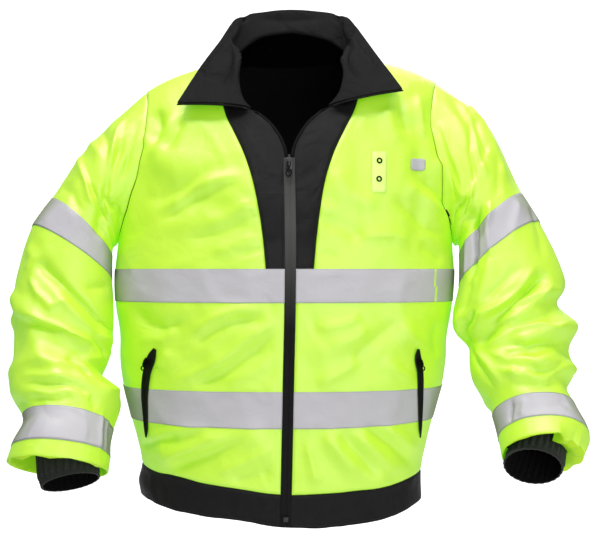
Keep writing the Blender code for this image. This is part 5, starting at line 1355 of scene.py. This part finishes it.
slider = {
    # each block's middle, size and rounding in millimetres: across the zip, up it and out of it
    "frontPlate": ((0.0, 0.0, 2.5), (10.6, 18.0, 1.4), 0.6),
    "lowerPlate": ((0.0, 0.0, 0.7), (9.6, 17.0, 1.2), 0.4),
    "neck": ((0.0, 4.5, 1.6), (3.0, 6.0, 2.2), 0.3),
    "leftFlange": ((-4.4, -1.2, 1.5), (1.2, 13.0, 2.2), 0.3),
    "rightFlange": ((4.4, -1.2, 1.5), (1.2, 13.0, 2.2), 0.3),
    "bridgeSpan": ((0.0, 0.0, 6.1), (2.2, 8.4, 1.0), 0.3),
    "bridgeUpper": ((0.0, 3.6, 4.3), (2.2, 1.2, 3.6), 0.2),
    "bridgeLower": ((0.0, -3.6, 4.3), (2.2, 1.2, 3.6), 0.2),
    "nose": ((0.0, 10.6, 2.2), (3.2, 5.4, 1.8), 0.7)}
plateTaper = 0.22
# a place is the middle of the lower plate, the way across the zip and the way up it
sliderPlace = ((2.847, -138.815, -171.73), (0.99984, -0.00315, -0.01743), (0.0177, 0.1437, 0.9897))
endStop = {
    "plate": ((0.0, 0.0, 1.2), (7.6, 7.0, 2.4), 0.5), "pin": ((-2.2, 1.4, 2.8), (1.2, 4.4, 1.0), 0.3),
    "box": ((2.4, 1.4, 2.8), (2.6, 4.4, 1.0), 0.3)}
endPlace = ((-2.2, -140.6, -706.0), (1.0, 0.0, 0.0), (0.0, 0.0, 1.0))


def modelBlocks(name, parts, place):
    blocks = []
    for spot, size, rounding in parts.values():
        bpy.ops.mesh.primitive_cube_add(size=1.0, location=[value * mm for value in spot])
        block = bpy.context.active_object
        block.scale = [value * mm for value in size]
        bpy.ops.object.transform_apply(location=True, rotation=True, scale=True)
        edge = block.modifiers.new("edge", "BEVEL")
        edge.width = rounding * mm
        edge.segments = 2
        applyModifiers(block)
        blocks.append(block)
    plate = blocks[0]
    halfPlate = list(parts.values())[0][1][1] / 2.0 * mm
    for vertex in plate.data.vertices:
        # the plate narrows towards its lower end
        low = -vertex.co.y / halfPlate
        if low > 0.0:
            vertex.co.x *= 1.0 - plateTaper * low
    bpy.ops.object.select_all(action="DESELECT")
    for block in blocks:
        block.select_set(True)
    bpy.context.view_layer.objects.active = plate
    bpy.ops.object.join()
    plate.name = name
    bpy.ops.object.shade_smooth_by_angle(angle=0.6)
    bpy.ops.object.select_all(action="DESELECT")
    origin, across, up = (Vector(value) for value in place)
    turn = Matrix((across, up, across.cross(up))).transposed().to_4x4()
    turn.translation = origin * mm
    plate.data.transform(turn)
    plate.data.materials.clear()
    plate.data.materials.append(finish["sliderMetal"])
    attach(plate, "shell")
    return plate


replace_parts(modelBlocks("zipSlider", slider, sliderPlace), "zip_slider")
modelBlocks("zipStop", endStop, endPlace)
for name, obj in nodes.items():
    if name.startswith("eyelet") or name.endswith("slider") or name.endswith("pull"):
        obj.data.materials.clear()
        obj.data.materials.append(finish["metal"])
print("metal parts finished")

studio = {
    "floor": -1.45, "floorSize": (16.0, 12.0, 1.0), "wall": 9.0, "bend": 2.0, "sky": 0.30, "paperGlow": 1.0,
    "cameraAt": (0.0193, -2.0, -0.330), "lens": 74.34}


def plainStage():
    # a floor that turns up into a backdrop
    bpy.ops.mesh.primitive_plane_add(size=1.0, location=(0.0, 0.0, studio["floor"]))
    obj = bpy.context.active_object
    obj.name = "studioFloor"
    bpy.ops.object.mode_set(mode="EDIT")
    bpy.ops.mesh.select_all(action="SELECT")
    bpy.ops.transform.resize(value=studio["floorSize"])
    bpy.ops.mesh.select_all(action="DESELECT")
    bpy.ops.object.mode_set(mode="OBJECT")
    for edge in obj.data.edges:
        edge.select = all(obj.data.vertices[v].co.y > 0.0 for v in edge.vertices)
    bpy.ops.object.mode_set(mode="EDIT")
    bpy.ops.mesh.select_mode(type="EDGE")
    bpy.ops.mesh.extrude_region_move(TRANSFORM_OT_translate={"value": (0.0, 0.0, studio["wall"])})
    bpy.ops.object.mode_set(mode="OBJECT")
    bend = obj.modifiers.new("bend", "BEVEL")
    bend.width = studio["bend"]
    bend.segments = 16
    applyModifiers(obj)
    obj.data.transform(obj.matrix_world)
    obj.matrix_world = Matrix.Identity(4)
    obj.data.shade_smooth()
    material, tree, shader = newFinish("studioPaper", (0.80, 0.80, 0.80), 0.9)
    place = addNode(tree, "ShaderNodeTexCoord").outputs["Object"]
    grain = addNode(tree, "ShaderNodeTexNoise", {"Vector": place, "Scale": 3.0})
    tree.links.new(spread(tree, grain.outputs[0], 0.0, 1.0, 0.88, 0.92), shader.inputs["Roughness"])
    shader.inputs["Emission Color"].default_value = (1.0, 1.0, 1.0, 1.0)
    seen = addNode(tree, "ShaderNodeLightPath").outputs["Is Camera Ray"]
    tree.links.new(calc(tree, "MULTIPLY", seen, studio["paperGlow"]), shader.inputs["Emission Strength"])
    obj.data.materials.append(material)


plainStage()
softLights = {
    "keyLight": {"at": (-0.35, -1.15, 2.25), "aim": (0.0, 0.0, -0.3), "size": (1.2, 0.8), "power": 71.0},
    "fillLight": {"at": (0.9, -2.4, -0.2), "aim": (0.0, 0.0, -0.4), "size": (1.8, 1.8), "power": 35.0},
    "topLight": {"at": (0.0, 0.1, 2.0), "aim": (0.0, 0.0, -0.2), "size": (1.8, 1.2), "power": 30.0},
    "rearLight": {"at": (1.0, 2.3, 1.3), "aim": (0.0, 0.0, -0.3), "size": (1.4, 1.4), "power": 34.0}}
for name, light in softLights.items():
    data = bpy.data.lights.new(name, "AREA")
    data.shape = "RECTANGLE"
    data.size, data.size_y = light["size"]
    data.energy = light["power"]
    obj = bpy.data.objects.new(name, data)
    obj.location = light["at"]
    obj.rotation_euler = (Vector(light["aim"]) - Vector(light["at"])).to_track_quat("-Z", "Y").to_euler()
    bpy.context.scene.collection.objects.link(obj)
world = bpy.data.worlds.new("studioAir")
world.use_nodes = True
world.node_tree.nodes["Background"].inputs[0].default_value = (1.0, 1.0, 1.0, 1.0)
world.node_tree.nodes["Background"].inputs[1].default_value = studio["sky"]
bpy.context.scene.world = world
bpy.context.scene.view_settings.view_transform = "Standard"

cameraData = bpy.data.cameras.new("studioCamera")
cameraData.lens = studio["lens"]
cameraData.sensor_width = 36.0
cameraData.clip_start = 0.05
camera = bpy.data.objects.new("studioCamera", cameraData)
camera.location = studio["cameraAt"]
camera.rotation_euler = (math.pi / 2.0, 0.0, 0.0)
bpy.context.scene.collection.objects.link(camera)
bpy.context.scene.camera = camera
print("studio set")
